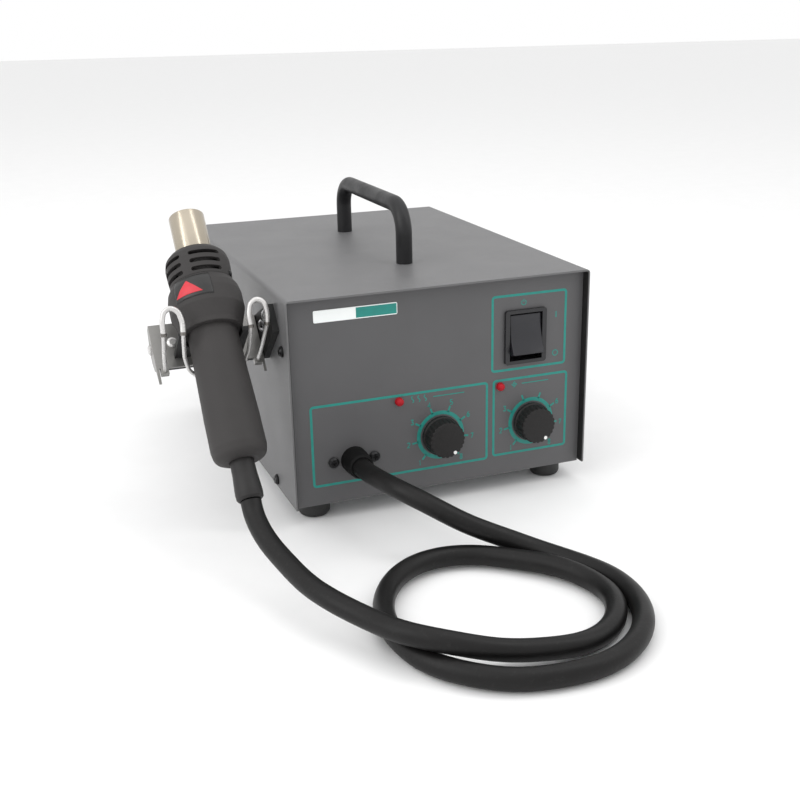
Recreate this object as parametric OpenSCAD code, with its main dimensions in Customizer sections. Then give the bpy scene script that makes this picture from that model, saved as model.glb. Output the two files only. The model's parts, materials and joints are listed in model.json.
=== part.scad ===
// Bench hot air station: a sheet metal cabinet with its controls on the front,
// a hot air gun lying in a wire cradle on the left wall, and the air hose between them.
// Units are millimetres. +Z is up, the controls face -Y, and the floor is at z = 0.

/* [Cabinet] */
// Width of the cabinet over the cover
cover_w = 187; // [170:1:220]
// Depth of the cabinet over the cover
cover_d = 245; // [230:1:290]
// Height of the cabinet from the floor to the top of the cover
cabinet_h = 135; // [130:1:160]
// Thickness of the cover sheet
sheet = 1.2; // [0.8:0.1:1.6]
// Outer radius of the cover's two long bends
bend_r = 2.5; // [2:0.1:4]
// How far the front and rear panels sit inside the cover's edges
recess = 5.5; // [4:0.5:8]
// Height of the rubber feet
foot_h = 11.2; // [8:0.1:14]
// Radius of the rubber feet
foot_r = 9.4; // [7:0.1:11]

/* [Carrying handle] */
// Distance between the two legs of the handle
handle_span = 114; // [90:1:130]
// Height of the handle over the cover
handle_h = 39; // [34:1:55]
// Diameter of the handle's bar
handle_bar_d = 10; // [8:0.5:12]
// Centreline radius of the handle's two corners
handle_bend = 16; // [12:1:20]

/* [Controls] */
// Radius of the two knobs over their skirts
knob_r = 12; // [10.5:0.1:13]
// Length of the two knobs
knob_len = 10.6; // [10.2:0.1:14]
// Angle that the knobs turn through, end to end
knob_travel = 300; // [240:10:300]
// Tilt of the rocker to each side of its middle
rocker_tilt = 14; // [8:1:14]

/* [Hot air gun] */
// Angle of the stored gun above the horizontal
gun_angle = 49; // [45:1:52]
// Distance from the left wall to the gun's axis
gun_gap = 34.5; // [34.5:0.5:38]
// Radius of the steel barrel
barrel_r = 10; // [9.5:0.1:10.5]
// Length of barrel that stands out of the gun's nose
barrel_out = 24.5; // [15:0.5:30]
// Radius of the vented nose
nose_r = 18; // [17:0.1:19]
// Radius of the wide part above the grip
shoulder_r = 20.5; // [19.5:0.1:21]
// Length of the grip below its seat in the cradle
grip_len = 76.5; // [70:0.5:80]

/* [Hose] */
// Outer diameter of the air hose
hose_d = 11; // [10:0.5:11]

/* [Hidden] */
$fn = 48;

// Small gap between parts that are assembled without force
gap = 0.3;
// Overlap that lets a cutting shape run past a face
over = 1;
// Depth that a shaft, screw or plug runs into its neighbour's own hole
eps = 0.01;

// Cabinet levels, in cabinet coordinates: x and y from the cabinet's centre, z from the floor
half_w = cover_w / 2;
half_d = cover_d / 2;
tray_z = foot_h;
tray_top = tray_z + sheet;
cover_z = tray_z + 1;
cover_h = cabinet_h - cover_z;
inner_w = half_w - sheet;
frame_w = inner_w - gap;
panel_t = 1.5;
panel_top = cabinet_h - sheet - gap;
panel_y = -half_d + recess;
panel_back = panel_y + panel_t;
rear_y = half_d - recess;
flange_t = 1.2;

// Screws that close the cover: a low row into the tray and a high row into the panels
low_screw_z = cover_z + 5;
low_screw_y = half_d - 39;
high_screw_z = cover_z + 92;
high_screw_y = half_d - 11.5;
cover_screw_sites = [
    for (y = [low_screw_y, -low_screw_y]) [y, low_screw_z],
    for (y = [high_screw_y, -high_screw_y]) [y, high_screw_z]
];
screw_head_r = 3.2;
screw_head_h = 2;
screw_r = 1.5;
screw_len = 7;

// Feet and the screws through the tray into the panels' lower flanges
foot_x = 77;
foot_y = half_d - 21;
panel_screw_x = 45;
panel_flange = 10;
panel_screw_y = half_d - recess - panel_t - panel_flange / 2;

// Carrying handle
handle_y = -2;
handle_r = handle_bar_d / 2;
handle_leg = handle_h - handle_r - handle_bend;
handle_screw_r = 2;

// Places of the controls on the front panel, as [x, z]
switch_at = [53.5, 97.5];
heat_at = [-1.5, 43];
air_at = [58.5, 43];
heat_led_at = [-27.5, 67.6];
air_led_at = [37.4, 67.9];
outlet_at = [-56, 36.2];
outlet_pitch = 25;
badge_at = [-76.7, 119.9];
badge_size = [49.3, 6.9];

// Rocker switch
switch_w = 27;
switch_h = 33;
bezel_t = 2;
rocker_w = 20.4;
rocker_half_h = 12;
rocker_reach = 8;
rocker_pivot_y = panel_y + 4;
rocker_pin_r = 1.5;
mouth_w = 21.4;
mouth_h = 28.8;
housing_w = 24.4;
housing_h = 31;
housing_deep = 24;

// Knobs, shafts and pots
knob_gap = 0.9;
knob_body_r = knob_r - 0.7;
knob_skirt = 2.4;
flutes = 24;
flute_r = 0.6;
shaft_r = 3;
shaft_clear = 0.05;
bushing_r = 3.5;
dot_r = 1.1;
dot_ring = 9.3;
dot_deep = 0.5;
// The knobs rest turned fully up, which leaves their dots this far from straight down
dot_angle = (360 - knob_travel) / 2;

// Hose outlet
gland_len = 14;
gland_r = 8;
gland_flange_r = 10.5;

// The gun's own frame: z along its axis towards the tip, with z = 0 at the seat face
gun_x = -half_w - gun_gap;
seat_back = 27;
seat_drop = 20;
gun_seat = [gun_x, -half_d + seat_back, cabinet_h - seat_drop];
tip_z = 73.5;
nose_top = tip_z - barrel_out;
nose_end = 29;
nose_round = 7.5;
body_wide_top = 21.5;
body_wide_end = 12.5;
seat_r = 17;
grip_top_r = 13.8;
grip_end_r = 15.1;
grip_round = 6.5;
shell = 1.8;
boot_len = 22;
boot_r = 7.4;
boot_top_r = 6.5;
barrel_wall = 0.6;
barrel_neck = 0.4;
barrel_bore_r = barrel_r - barrel_neck - barrel_wall;
slot_pair_turn = -120.25;
slot_spread = 38.75;
slot_arc = 53;
slot_rows = 3;
slot_pitch = 4.9;
slot_w = 2;
slot_top = 42.7;
patch_arc = 62;
patch_turn = -148;
// The outside of the gun where the nose's skirt flares into the wide part, as [radius, z]
flare = [
    [nose_r - 0.2, nose_end - 1], [shoulder_r - 0.9, body_wide_top + 3.2],
    [shoulder_r, body_wide_top - 1], [shoulder_r, body_wide_end + 1]
];
screw_turn = -30;

// Cradle, in the gun's frame. -y is the open side that faces the user
web_y = 21.2;
web_t = 1.5;
plate_t = 2;
foot_t = 3.5;
cradle_top = 19;
cradle_end = -8;
cradle_w = 29;
wall_x = gun_gap;
flange_deep = 11;
wire_r = 1.15;
wire_x = 26.4;
wire_z = -10.2;
saddle_w = 4.4;
saddle_deep = 3.5;
saddle_down = 2.2;
seat_clear = 0.3;
seat_t = 2.5;

// Reach of the whole object, without its hose, which centres it on the frame's origin
flange_out = cradle_w + web_t;
rivet_h = 1.6;
left_reach = -gun_x + flange_out + rivet_h;
right_reach = half_w + screw_head_h;
boot_end_z = -grip_len - boot_len;
boot_lip = 0.6;
boot_lip_r = boot_r - 0.8;
front_reach = -gun_seat.y - (boot_end_z + boot_lip) * cos(gun_angle) + boot_lip_r * sin(gun_angle);
back_reach = half_d;
cab_x = (left_reach - right_reach) / 2;
cab_y = (front_reach - back_reach) / 2;

module at_cabinet() {
    translate([cab_x, cab_y, 0]) children();
}

// On a point of the front panel's face, with +z pointing out of the panel to the user
module at_panel(at) {
    at_cabinet() translate([at.x, panel_y, at.y]) rotate([90, 0, 0]) children();
}

module in_gun() {
    at_cabinet() translate(gun_seat) rotate([gun_angle - 90, 0, 0]) children();
}

// Pan head screw, its head's underside at z = 0 and its shank running down
module pan_screw(head_r, head_h, shank_r, shank_len) {
    edge = head_h / 2;
    slot_w = head_r / 4;
    difference() {
        union() {
            cylinder(r = head_r, h = edge);
            translate([0, 0, edge]) cylinder(r1 = head_r, r2 = head_r * 0.7, h = head_h - edge);
            translate([0, 0, -shank_len]) cylinder(r = shank_r, h = shank_len);
        }
        for (a = [0, 90]) rotate(a)
            translate([-head_r * 0.5, -slot_w / 2, head_h * 0.45]) cube([head_r, slot_w, head_h]);
    }
}

// Flat outline with its two upper corners rounded, standing on y = 0
module bent_profile(w, h, r) {
    translate([-w / 2, 0]) square([w, h - r]);
    translate([-w / 2 + r, 0]) square([w - 2 * r, h]);
    for (x = [-1, 1]) translate([x * (w / 2 - r), h - r]) circle(r);
}

// Rectangle with four round corners, centred
module round_rect(w, h, r) {
    square([w - 2 * r, h], center = true);
    square([w, h - 2 * r], center = true);
    for (x = [-1, 1], y = [-1, 1]) translate([x * (w / 2 - r), y * (h / 2 - r)]) circle(r);
}

// ---- Cabinet ----

module cover() color([0.36, 0.36, 0.37]) at_cabinet() {
    hole_r = screw_r + 0.2;
    handle_hole_r = handle_screw_r + 0.2;
    difference() {
        translate([0, half_d, cover_z]) rotate([90, 0, 0]) linear_extrude(cover_d)
            difference() {
                bent_profile(cover_w, cover_h, bend_r);
                translate([0, -over])
                    bent_profile(cover_w - 2 * sheet, cover_h - sheet + over, bend_r - sheet);
            }
        for (s = cover_screw_sites, side = [-1, 1])
            translate([side * half_w, s.x, s.y]) rotate([0, 90, 0])
                cylinder(r = hole_r, h = 4 * sheet, center = true);
        for (y = [-1, 1])
            translate([0, handle_y + y * handle_span / 2, cabinet_h])
                cylinder(r = handle_hole_r, h = 4 * sheet, center = true);
    }
}

module chassis_tray() color([0.62, 0.63, 0.64]) at_cabinet() {
    flange_h = 14;
    side_len = 2 * (rear_y - panel_t - panel_flange);
    front_y = panel_back + gap;
    difference() {
        union() {
            translate([-frame_w, front_y, tray_z]) cube([2 * frame_w, -2 * front_y, sheet]);
            for (side = [-1, 1])
                translate([side * (frame_w - flange_t / 2), 0, tray_z + flange_h / 2])
                    cube([flange_t, side_len - 2 * gap, flange_h], center = true);
        }
        for (side = [-1, 1], y = [-low_screw_y, low_screw_y])
            translate([side * half_w, y, low_screw_z]) rotate([0, 90, 0])
                cylinder(r = screw_r, h = 8 * sheet, center = true);
        for (x = [-foot_x, foot_x], y = [-foot_y, foot_y])
            translate([x, y, tray_z]) cylinder(r = screw_r, h = 4 * sheet, center = true);
        for (x = [-panel_screw_x, panel_screw_x], y = [-panel_screw_y, panel_screw_y])
            translate([x, y, tray_z]) cylinder(r = screw_r, h = 4 * sheet, center = true);
    }
}

// Folded panel blank standing at y = 0 with its flanges running to +y
module panel_blank() {
    side_z = tray_top + 20;
    side_h = panel_top - side_z - 10;
    translate([0, panel_t, tray_z]) rotate([90, 0, 0]) linear_extrude(panel_t)
        bent_profile(2 * frame_w, panel_top - tray_z, bend_r - sheet);
    for (side = [-1, 1])
        translate([side * (frame_w - flange_t / 2) - flange_t / 2, panel_t - eps, side_z])
            cube([flange_t, panel_flange, side_h]);
    translate([-frame_w + 8, panel_t - eps, tray_top])
        cube([2 * frame_w - 16, panel_flange, flange_t]);
}

module panel_screw_holes(face_y, way) {
    for (side = [-1, 1])
        translate([side * half_w, way * high_screw_y, high_screw_z]) rotate([0, 90, 0])
            cylinder(r = screw_r, h = 8 * sheet, center = true);
    for (x = [-panel_screw_x, panel_screw_x])
        translate([x, way * panel_screw_y, tray_top])
            cylinder(r = screw_r, h = 6 * sheet, center = true);
}

module front_panel() color([0.36, 0.355, 0.36]) difference() {
    at_cabinet() translate([0, panel_y, 0]) panel_blank();
    at_cabinet() panel_screw_holes(panel_y, -1);
    at_panel(switch_at) translate([0, 0, -2 * panel_t]) linear_extrude(4 * panel_t)
        square([housing_w + 2 * gap, housing_h + 2 * gap], center = true);
    for (at = [heat_at, air_at])
        at_panel(at) cylinder(r = bushing_r + 0.1, h = 4 * panel_t, center = true);
    for (at = [heat_led_at, air_led_at])
        at_panel(at) cylinder(r = 2.6, h = 4 * panel_t, center = true);
    at_panel(outlet_at) cylinder(r = gland_r + 0.1, h = 4 * panel_t, center = true);
    for (x = [-1, 1])
        at_panel(outlet_at) translate([x * outlet_pitch / 2, 0, 0])
            cylinder(r = screw_r + 0.1, h = 4 * panel_t, center = true);
}

// Mains inlet on the rear panel
inlet_at = [-52, 48];
inlet_w = 30;
inlet_h = 46;
inlet_ear = 40;
inlet_flange_w = 50;
inlet_body_deep = 22;
socket_w = 24.5;
socket_h = 17;
socket_deep = 16;
socket_up = 9;
drawer_w = 24;
drawer_h = 9;
drawer_deep = 18;
drawer_down = -14;

module at_rear(at) {
    at_cabinet() translate([at.x, rear_y, at.y]) rotate([90, 0, 180]) children();
}

module rear_panel() color([0.36, 0.355, 0.36]) {
    vent_w = 34;
    vent_h = 2.6;
    vent_rows = 9;
    vent_pitch = 6;
    vent_x = [18, 62];
    vent_z = 52;
    difference() {
        at_cabinet() translate([0, rear_y, 0]) mirror([0, 1, 0]) panel_blank();
        at_cabinet() panel_screw_holes(rear_y, 1);
        at_cabinet() for (x = vent_x, i = [0:vent_rows - 1])
            translate([x, rear_y, vent_z + i * vent_pitch]) rotate([90, 0, 0])
                linear_extrude(4 * panel_t, center = true)
                    round_rect(vent_w, vent_h, vent_h / 2 - eps);
        at_rear(inlet_at) linear_extrude(4 * panel_t, center = true)
            square([inlet_w + gap, inlet_h + gap], center = true);
        for (x = [-1, 1])
            at_rear(inlet_at) translate([x * inlet_ear / 2, 0, 0])
                cylinder(r = screw_r + 0.1, h = 4 * panel_t, center = true);
    }
}

module panel_screws() color([0.2, 0.2, 0.21]) at_cabinet() {
    for (x = [-panel_screw_x, panel_screw_x], y = [-panel_screw_y, panel_screw_y])
        translate([x, y, tray_z]) rotate([180, 0, 0])
            pan_screw(screw_head_r, screw_head_h, screw_r, screw_len);
}

module cover_screws() color([0.08, 0.08, 0.08]) at_cabinet() {
    for (s = cover_screw_sites, side = [-1, 1])
        translate([side * half_w, s.x, s.y]) rotate([0, side * 90, 0])
            pan_screw(screw_head_r, screw_head_h, screw_r, screw_len);
}

module feet() color([0.05, 0.05, 0.05]) at_cabinet() {
    edge = 3;
    bore_r = screw_r + 0.1;
    sink_r = screw_head_r + 0.4;
    sink_h = 4.5;
    for (x = [-foot_x, foot_x], y = [-foot_y, foot_y]) translate([x, y, 0]) difference() {
        rotate_extrude() {
            translate([0, 0]) square([foot_r - edge, foot_h]);
            translate([0, edge]) square([foot_r, foot_h - edge]);
            translate([foot_r - edge, edge]) circle(edge);
        }
        translate([0, 0, -over]) cylinder(r = bore_r, h = foot_h + 2 * over);
        translate([0, 0, -over]) cylinder(r = sink_r, h = sink_h + over);
    }
}

module foot_screws() color([0.6, 0.6, 0.62]) at_cabinet() {
    sink_h = 4.5;
    for (x = [-foot_x, foot_x], y = [-foot_y, foot_y])
        translate([x, y, sink_h]) rotate([180, 0, 0])
            pan_screw(screw_head_r, screw_head_h, screw_r, foot_h - sink_h + 4 * sheet);
}

// ---- Carrying handle ----

module carry_handle() color([0.06, 0.06, 0.065]) at_cabinet() {
    bar_len = handle_span - 2 * handle_bend;
    bar_z = handle_leg + handle_bend;
    hole_deep = 12;
    translate([0, handle_y, cabinet_h]) difference() {
        union() {
            for (side = [-1, 1]) {
                translate([0, side * handle_span / 2, 0]) cylinder(r = handle_r, h = handle_leg);
                translate([0, side * bar_len / 2, handle_leg]) rotate([0, -90, 0])
                    rotate([0, 0, side > 0 ? 0 : -90])
                        rotate_extrude(angle = 90) translate([handle_bend, 0]) circle(handle_r);
            }
            translate([0, -bar_len / 2, bar_z]) rotate([-90, 0, 0])
                cylinder(r = handle_r, h = bar_len);
        }
        for (side = [-1, 1]) translate([0, side * handle_span / 2, -over])
            cylinder(r = handle_screw_r, h = hole_deep + over);
    }
}

module handle_screws() color([0.6, 0.6, 0.62]) at_cabinet() {
    head_r = 4;
    head_h = 2.8;
    washer_r = 6;
    washer_t = 1;
    under = cabinet_h - sheet - washer_t;
    for (side = [-1, 1]) translate([0, handle_y + side * handle_span / 2, 0]) {
        translate([0, 0, under]) rotate([180, 0, 0])
            pan_screw(head_r, head_h, handle_screw_r, 11);
        translate([0, 0, under]) difference() {
            cylinder(r = washer_r, h = washer_t);
            translate([0, 0, -over]) cylinder(r = handle_screw_r + 0.2, h = washer_t + 2 * over);
        }
    }
}

module front_badge() color([0.85, 0.87, 0.87]) {
    badge_t = 0.4;
    centre = badge_at + badge_size / 2;
    at_panel(centre) linear_extrude(badge_t) round_rect(badge_size.x, badge_size.y, 0.8);
}

// ---- Power switch ----

module switch_body() color([0.07, 0.07, 0.075]) at_panel(switch_at) {
    floor_z = -(rocker_pivot_y - panel_y) - 7;
    difference() {
        union() {
            linear_extrude(bezel_t) round_rect(switch_w, switch_h, 1.6);
            translate([0, 0, -housing_deep]) linear_extrude(housing_deep + eps)
                square([housing_w, housing_h], center = true);
        }
        translate([0, 0, floor_z]) linear_extrude(bezel_t - floor_z + over)
            square([mouth_w, mouth_h], center = true);
        translate([0, 0, panel_y - rocker_pivot_y]) rotate([0, 90, 0])
            cylinder(r = rocker_pin_r + shaft_clear, h = housing_w - 1, center = true);
    }
}

// The rocker rests with its upper end pressed in
module switch_rocker() color([0.1, 0.1, 0.105]) at_panel(switch_at) {
    dish = 1.2;
    hub_r = 4.5;
    root = 3;
    translate([0, 0, panel_y - rocker_pivot_y]) rotate([rocker_tilt * -1, 0, 0])
        rotate([0, -90, 0]) {
            translate([0, 0, -rocker_w / 2]) linear_extrude(rocker_w) {
                polygon([
                    [root, -rocker_half_h], [rocker_reach, -rocker_half_h],
                    [rocker_reach - dish, 0], [rocker_reach, rocker_half_h],
                    [root, rocker_half_h], [-1, hub_r], [-1, -hub_r]
                ]);
                circle(hub_r);
            }
            cylinder(r = rocker_pin_r, h = housing_w - 1.6, center = true);
        }
}

module switch_terminals() color([0.8, 0.72, 0.45]) at_panel(switch_at) {
    blade = [4.8, 0.8, 11];
    for (x = [-6, 6], z = [-9, 9])
        translate([x, z, -housing_deep - blade.z / 2]) cube(blade, center = true);
}

// ---- Knobs, pots and lamps ----

module knob(at) {
    bore_deep = 8;
    difference() {
        at_panel(at) translate([0, 0, knob_gap]) {
            cylinder(r = knob_r, h = knob_skirt);
            translate([0, 0, knob_skirt]) difference() {
                cylinder(r = knob_body_r, h = knob_len - knob_skirt);
                for (i = [0:flutes - 1]) rotate(i * 360 / flutes)
                    translate([knob_body_r + 0.2, 0, 0.8])
                        cylinder(r = flute_r, h = knob_len);
            }
        }
        at_panel(at) translate([0, 0, -over]) cylinder(r = shaft_r, h = bore_deep + over);
        at_dot(at) cylinder(r = dot_r, h = dot_deep + over);
    }
}

// On the floor of a knob's dot pocket
module at_dot(at) {
    face = knob_gap + knob_len;
    at_panel(at) translate([dot_ring * sin(dot_angle), -dot_ring * cos(dot_angle), face - dot_deep])
        children();
}

module knob_dot(at) {
    at_dot(at) cylinder(r = dot_r, h = dot_deep);
}

module pot_shaft(at) {
    shaft_back = 9;
    at_panel(at) translate([0, 0, -shaft_back]) cylinder(r = shaft_r, h = shaft_back + 7.5);
}

module pot(at) {
    can_r = 12;
    can_h = 9;
    bore_r = shaft_r + shaft_clear;
    lug = [3, 10, 1];
    at_panel(at) difference() {
        union() {
            translate([0, 0, -panel_t - can_h]) cylinder(r = can_r, h = can_h);
            translate([0, 0, -panel_t - eps]) cylinder(r = bushing_r, h = panel_t + 0.5);
            for (x = [-5, 0, 5]) translate([x, -can_r - 2, -panel_t - can_h / 2])
                cube(lug, center = true);
        }
        translate([0, 0, -10]) cylinder(r = bore_r, h = 12);
    }
}

module heat_knob() color([0.09, 0.085, 0.09]) knob(heat_at);
module air_knob() color([0.09, 0.085, 0.09]) knob(air_at);
module heat_knob_dot() color([0.95, 0.95, 0.93]) knob_dot(heat_at);
module air_knob_dot() color([0.95, 0.95, 0.93]) knob_dot(air_at);
module heat_shaft() color([0.75, 0.76, 0.78]) pot_shaft(heat_at);
module air_shaft() color([0.75, 0.76, 0.78]) pot_shaft(air_at);
module heat_pot() color([0.55, 0.5, 0.35]) pot(heat_at);
module air_pot() color([0.55, 0.5, 0.35]) pot(air_at);

// Thin nuts that hold the pots against the panel's back, under the knobs
module pot_nuts() color([0.7, 0.7, 0.72]) {
    nut_r = 5.5;
    nut_t = 0.5;
    for (at = [heat_at, air_at]) at_panel(at) difference() {
        cylinder(r = nut_r, h = nut_t, $fn = 6);
        translate([0, 0, -over]) cylinder(r = bushing_r, h = nut_t + 2 * over);
    }
}

module led(at) {
    lens_r = 2.5;
    stand = 1.2;
    rim_r = 2.9;
    at_panel(at) {
        translate([0, 0, -panel_t - 4]) cylinder(r = lens_r, h = panel_t + 4 + stand);
        translate([0, 0, stand]) intersection() {
            sphere(lens_r);
            translate([0, 0, -eps]) cylinder(r = lens_r + over, h = lens_r + over);
        }
        translate([0, 0, -panel_t - 2]) cylinder(r = rim_r, h = 1.8);
    }
}

module heat_led() color([0.75, 0.05, 0.08]) led(heat_led_at);
module air_led() color([0.75, 0.05, 0.08]) led(air_led_at);

// ---- Hose outlet ----

module outlet_gland() color([0.04, 0.04, 0.04]) at_panel(outlet_at) {
    bore_r = hose_d / 2 + 0.2;
    mouth_r = gland_r - 0.7;
    lip = 1.5;
    rotate_extrude() polygon([
        [bore_r, -panel_t - lip - 4], [gland_r - 1, -panel_t - lip - 4],
        [gland_r - 1, -panel_t - lip], [gland_flange_r, -panel_t - lip],
        [gland_flange_r, -panel_t], [gland_r, -panel_t], [gland_r, 4],
        [mouth_r, gland_len - 1], [mouth_r - 0.8, gland_len], [bore_r, gland_len]
    ]);
}

module outlet_clamp() color([0.7, 0.7, 0.72]) at_panel(outlet_at) {
    clamp_t = 1.5;
    back = panel_t + 1.5;
    difference() {
        translate([0, 0, -back - clamp_t]) linear_extrude(clamp_t) difference() {
            round_rect(outlet_pitch + 9, 15, 4);
            circle(gland_r - 1 + 0.1);
        }
        for (x = [-1, 1]) translate([x * outlet_pitch / 2, 0, -20])
            cylinder(r = screw_r, h = 40);
    }
}

module outlet_screws() color([0.06, 0.06, 0.06]) {
    shank = 6;
    for (x = [-1, 1]) at_panel(outlet_at) translate([x * outlet_pitch / 2, 0, 0])
        pan_screw(screw_head_r, screw_head_h, screw_r, shank);
}

// ---- Swept tubes ----

function unit(v) = v / norm(v);

// Direction of a route at point i, from its neighbours
function heading(route, i) =
    let (a = route[max(i - 1, 0)], b = route[min(i + 1, len(route) - 1)]) unit(b - a);

// Sideways direction at point i. A route never runs straight up, so level is always defined
function level(route, i) = unit(cross(heading(route, i), [0, 0, 1]));

function ring(route, i, r, sides) =
    let (s = level(route, i), u = cross(s, heading(route, i)))
    [for (k = [0:sides - 1]) route[i] + r * (cos(k * 360 / sides) * s + sin(k * 360 / sides) * u)];

module swept(route, r, sides) {
    n = len(route);
    skin = [for (i = [0:n - 2], k = [0:sides - 1]) let (j = (k + 1) % sides, a = i * sides, b = a + sides)
        [a + k, a + j, b + j, b + k]];
    start = [for (k = [sides - 1:-1:0]) k];
    end = [for (k = [0:sides - 1]) (n - 1) * sides + k];
    polyhedron([for (i = [0:n - 1]) each ring(route, i, r, sides)], concat([start, end], skin));
}

// The hose's route on the floor, in cabinet coordinates: out of the gland, once and a half
// round a loose loop that lies beside and over itself, and up to the gun's boot
hose_route = [
    [-56, -123, 36.2], [-56, -132.5, 36.2], [-54, -147, 36.4], [-48.5, -166.5, 36],
    [-37, -183.5, 31.5],
    [-20, -195, 22], [-1, -202, 13], [16, -214, 7], [29, -233.5, 5.6],
    [36.5, -254.5, 5.6], [36, -276.5, 5.6], [27.5, -297.5, 6], [12.5, -314, 6],
    [-8, -323.5, 5.6], [-30, -324.5, 5.6], [-52, -319, 5.6], [-70, -306.5, 6],
    [-82.5, -287.5, 5.6], [-87, -266, 6], [-85, -243.5, 5.6], [-76.5, -223, 6], [-61, -207, 7],
    [-40, -199.5, 7], [-18, -204, 6.6], [-1, -216.5, 6.6], [14.5, -233, 7], [24.5, -253, 6],
    [24.5, -274.5, 6], [13.5, -293, 5.6], [-6.5, -304.5, 6], [-28, -306, 8], [-50, -302, 10.5],
    [-71, -295.5, 15.5], [-88, -281.5, 17], [-98.5, -261.5, 16], [-109, -242, 17.5],
    [-117, -221.5, 19.5], [-121.5, -202, 22.2], [-125.5, -184.5, 26.5],
    [-127.5, -172, 31.4]
];
hose_sides = 12;

module air_hose() color([0.05, 0.05, 0.05]) at_cabinet() {
    end_gap = 0.4;
    last_len = 5;
    boot_mouth = gun_seat + (boot_end_z - end_gap) * [0, cos(gun_angle), sin(gun_angle)];
    last_bend = boot_mouth - last_len * [0, cos(gun_angle), sin(gun_angle)];
    swept(concat(hose_route, [last_bend, boot_mouth]), hose_d / 2, hose_sides);
}

// ---- Hot air gun ----

module gun_barrel() color([0.76, 0.74, 0.7]) in_gun() {
    inner_end = 4;
    rim = 0.5;
    neck_r = barrel_r - barrel_neck;
    step_z = nose_top + 0.4;
    rotate_extrude() polygon([
        [barrel_bore_r, inner_end], [neck_r, inner_end], [neck_r, step_z],
        [barrel_r, step_z], [barrel_r, tip_z - rim], [barrel_r - rim / 2, tip_z],
        [barrel_r - barrel_wall, tip_z], [barrel_r - barrel_wall, step_z + barrel_neck],
        [barrel_bore_r, step_z]
    ]);
}

module mica_sleeve() color([0.72, 0.66, 0.5]) in_gun() {
    wall = 0.5;
    outer_r = barrel_bore_r;
    difference() {
        translate([0, 0, 10]) cylinder(r = outer_r, h = 48);
        translate([0, 0, 10 - over]) cylinder(r = outer_r - wall, h = 48 + 2 * over);
    }
}

module heater_core() color([0.9, 0.88, 0.82]) in_gun() {
    core_r = barrel_bore_r - 0.5 - 0.2;
    channels = 8;
    channel_r = 1.5;
    channel_ring = 5.6;
    difference() {
        translate([0, 0, 12]) cylinder(r = core_r, h = 44);
        for (i = [0:channels - 1]) rotate(i * 360 / channels)
            translate([channel_ring, 0, 12 - over]) cylinder(r = channel_r, h = 44 + 2 * over);
        translate([0, 0, 12 - over]) cylinder(r = 1.8, h = 44 + 2 * over);
    }
}

module air_coupling() color([0.75, 0.35, 0.25]) in_gun() {
    wall = 1.2;
    outer_r = barrel_bore_r;
    rotate_extrude() polygon([
        [outer_r - wall, 10], [outer_r, 10], [outer_r, 3], [4.6, -8], [4.6, -22],
        [4.6 - wall, -22], [4.6 - wall, -8], [outer_r - wall, 3]
    ]);
}

module gun_nose() color([0.2, 0.195, 0.195]) in_gun() {
    bore = barrel_r + 0.1;
    flat_r = 12.5;
    inner_r = nose_r - shell;
    difference() {
        rotate_extrude() difference() {
            union() {
                polygon([
                    [bore, nose_end], [nose_r - 0.6, nose_end], [nose_r, nose_top - nose_round],
                    [nose_r - 0.8, nose_top - 4.5], [nose_r - 2.6, nose_top - 1.8],
                    [flat_r, nose_top], [bore, nose_top]
                ]);
            }
            polygon([
                [bore + 1.5, nose_end - over], [inner_r - 0.6, nose_end - over],
                [inner_r, nose_top - nose_round], [flat_r, nose_top - shell - 1],
                [bore + 1.5, nose_top - shell - 1]
            ]);
        }
        for (side = [0, 180], pair = [-1, 1], row = [0:slot_rows - 1])
            rotate(slot_pair_turn + side + pair * slot_spread - slot_arc / 2)
                translate([0, 0, slot_top - row * slot_pitch - slot_w])
                    rotate_extrude(angle = slot_arc) translate([inner_r - 4, 0])
                        square([8, slot_w]);
        gun_screw_holes();
    }
}

module gun_body() color([0.19, 0.185, 0.185]) in_gun() difference() {
    socket_r = nose_r - shell - 0.9;
    rotate_extrude() difference() {
        polygon(concat(
            [[socket_r - shell, nose_end + 4], [socket_r, nose_end + 4]],
            [[socket_r, nose_end], [nose_r - 0.7, nose_end]], flare,
            [[shoulder_r, body_wide_end], [shoulder_r - 0.9, body_wide_end - 2.2]],
            [[seat_r + 0.4, 1.2], [seat_r, 0]],
            [[grip_top_r - 2 * shell, 0], [grip_top_r - 2 * shell, 4]]
        ));
        polygon([
            [grip_top_r - 2 * shell - over, 4], [shoulder_r - shell - 2, 10],
            [shoulder_r - shell, body_wide_end + 1], [shoulder_r - shell, body_wide_top - 2],
            [socket_r - shell, nose_end - 2], [0, nose_end - 2], [0, 4]
        ]);
    }
    gun_screw_holes();
}

module at_gun_screws() {
    for (side = [0, 180]) rotate(screw_turn + side)
        translate([nose_r - 0.55, 0, nose_end + 2]) rotate([0, 90, 0]) children();
}

// Holes through the nose's skirt and the body's collar, with a seat for each screw's head
module gun_screw_holes() {
    head_r = 1.8;
    bore_r = 0.9;
    at_gun_screws() {
        cylinder(r = head_r, h = 3);
        cylinder(r = bore_r, h = 12, center = true);
    }
}

module gun_grip() color([0.21, 0.2, 0.2]) in_gun() {
    inner = grip_top_r - shell;
    round_z = -grip_len + grip_round;
    boot_bore = boot_top_r;
    rotate_extrude() polygon([
        [inner, 0], [grip_top_r, 0], [grip_end_r, round_z + 2],
        [grip_end_r - 0.4, round_z - 1], [grip_end_r - 1.7, round_z - 3.8],
        [grip_end_r - 3.6, -grip_len + 0.9], [grip_end_r - 5.6, -grip_len],
        [boot_bore, -grip_len], [boot_bore, -grip_len + shell], [grip_end_r - 5, -grip_len + shell],
        [grip_end_r - 4, -grip_len + 4], [inner, round_z + 2]
    ]);
}

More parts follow.
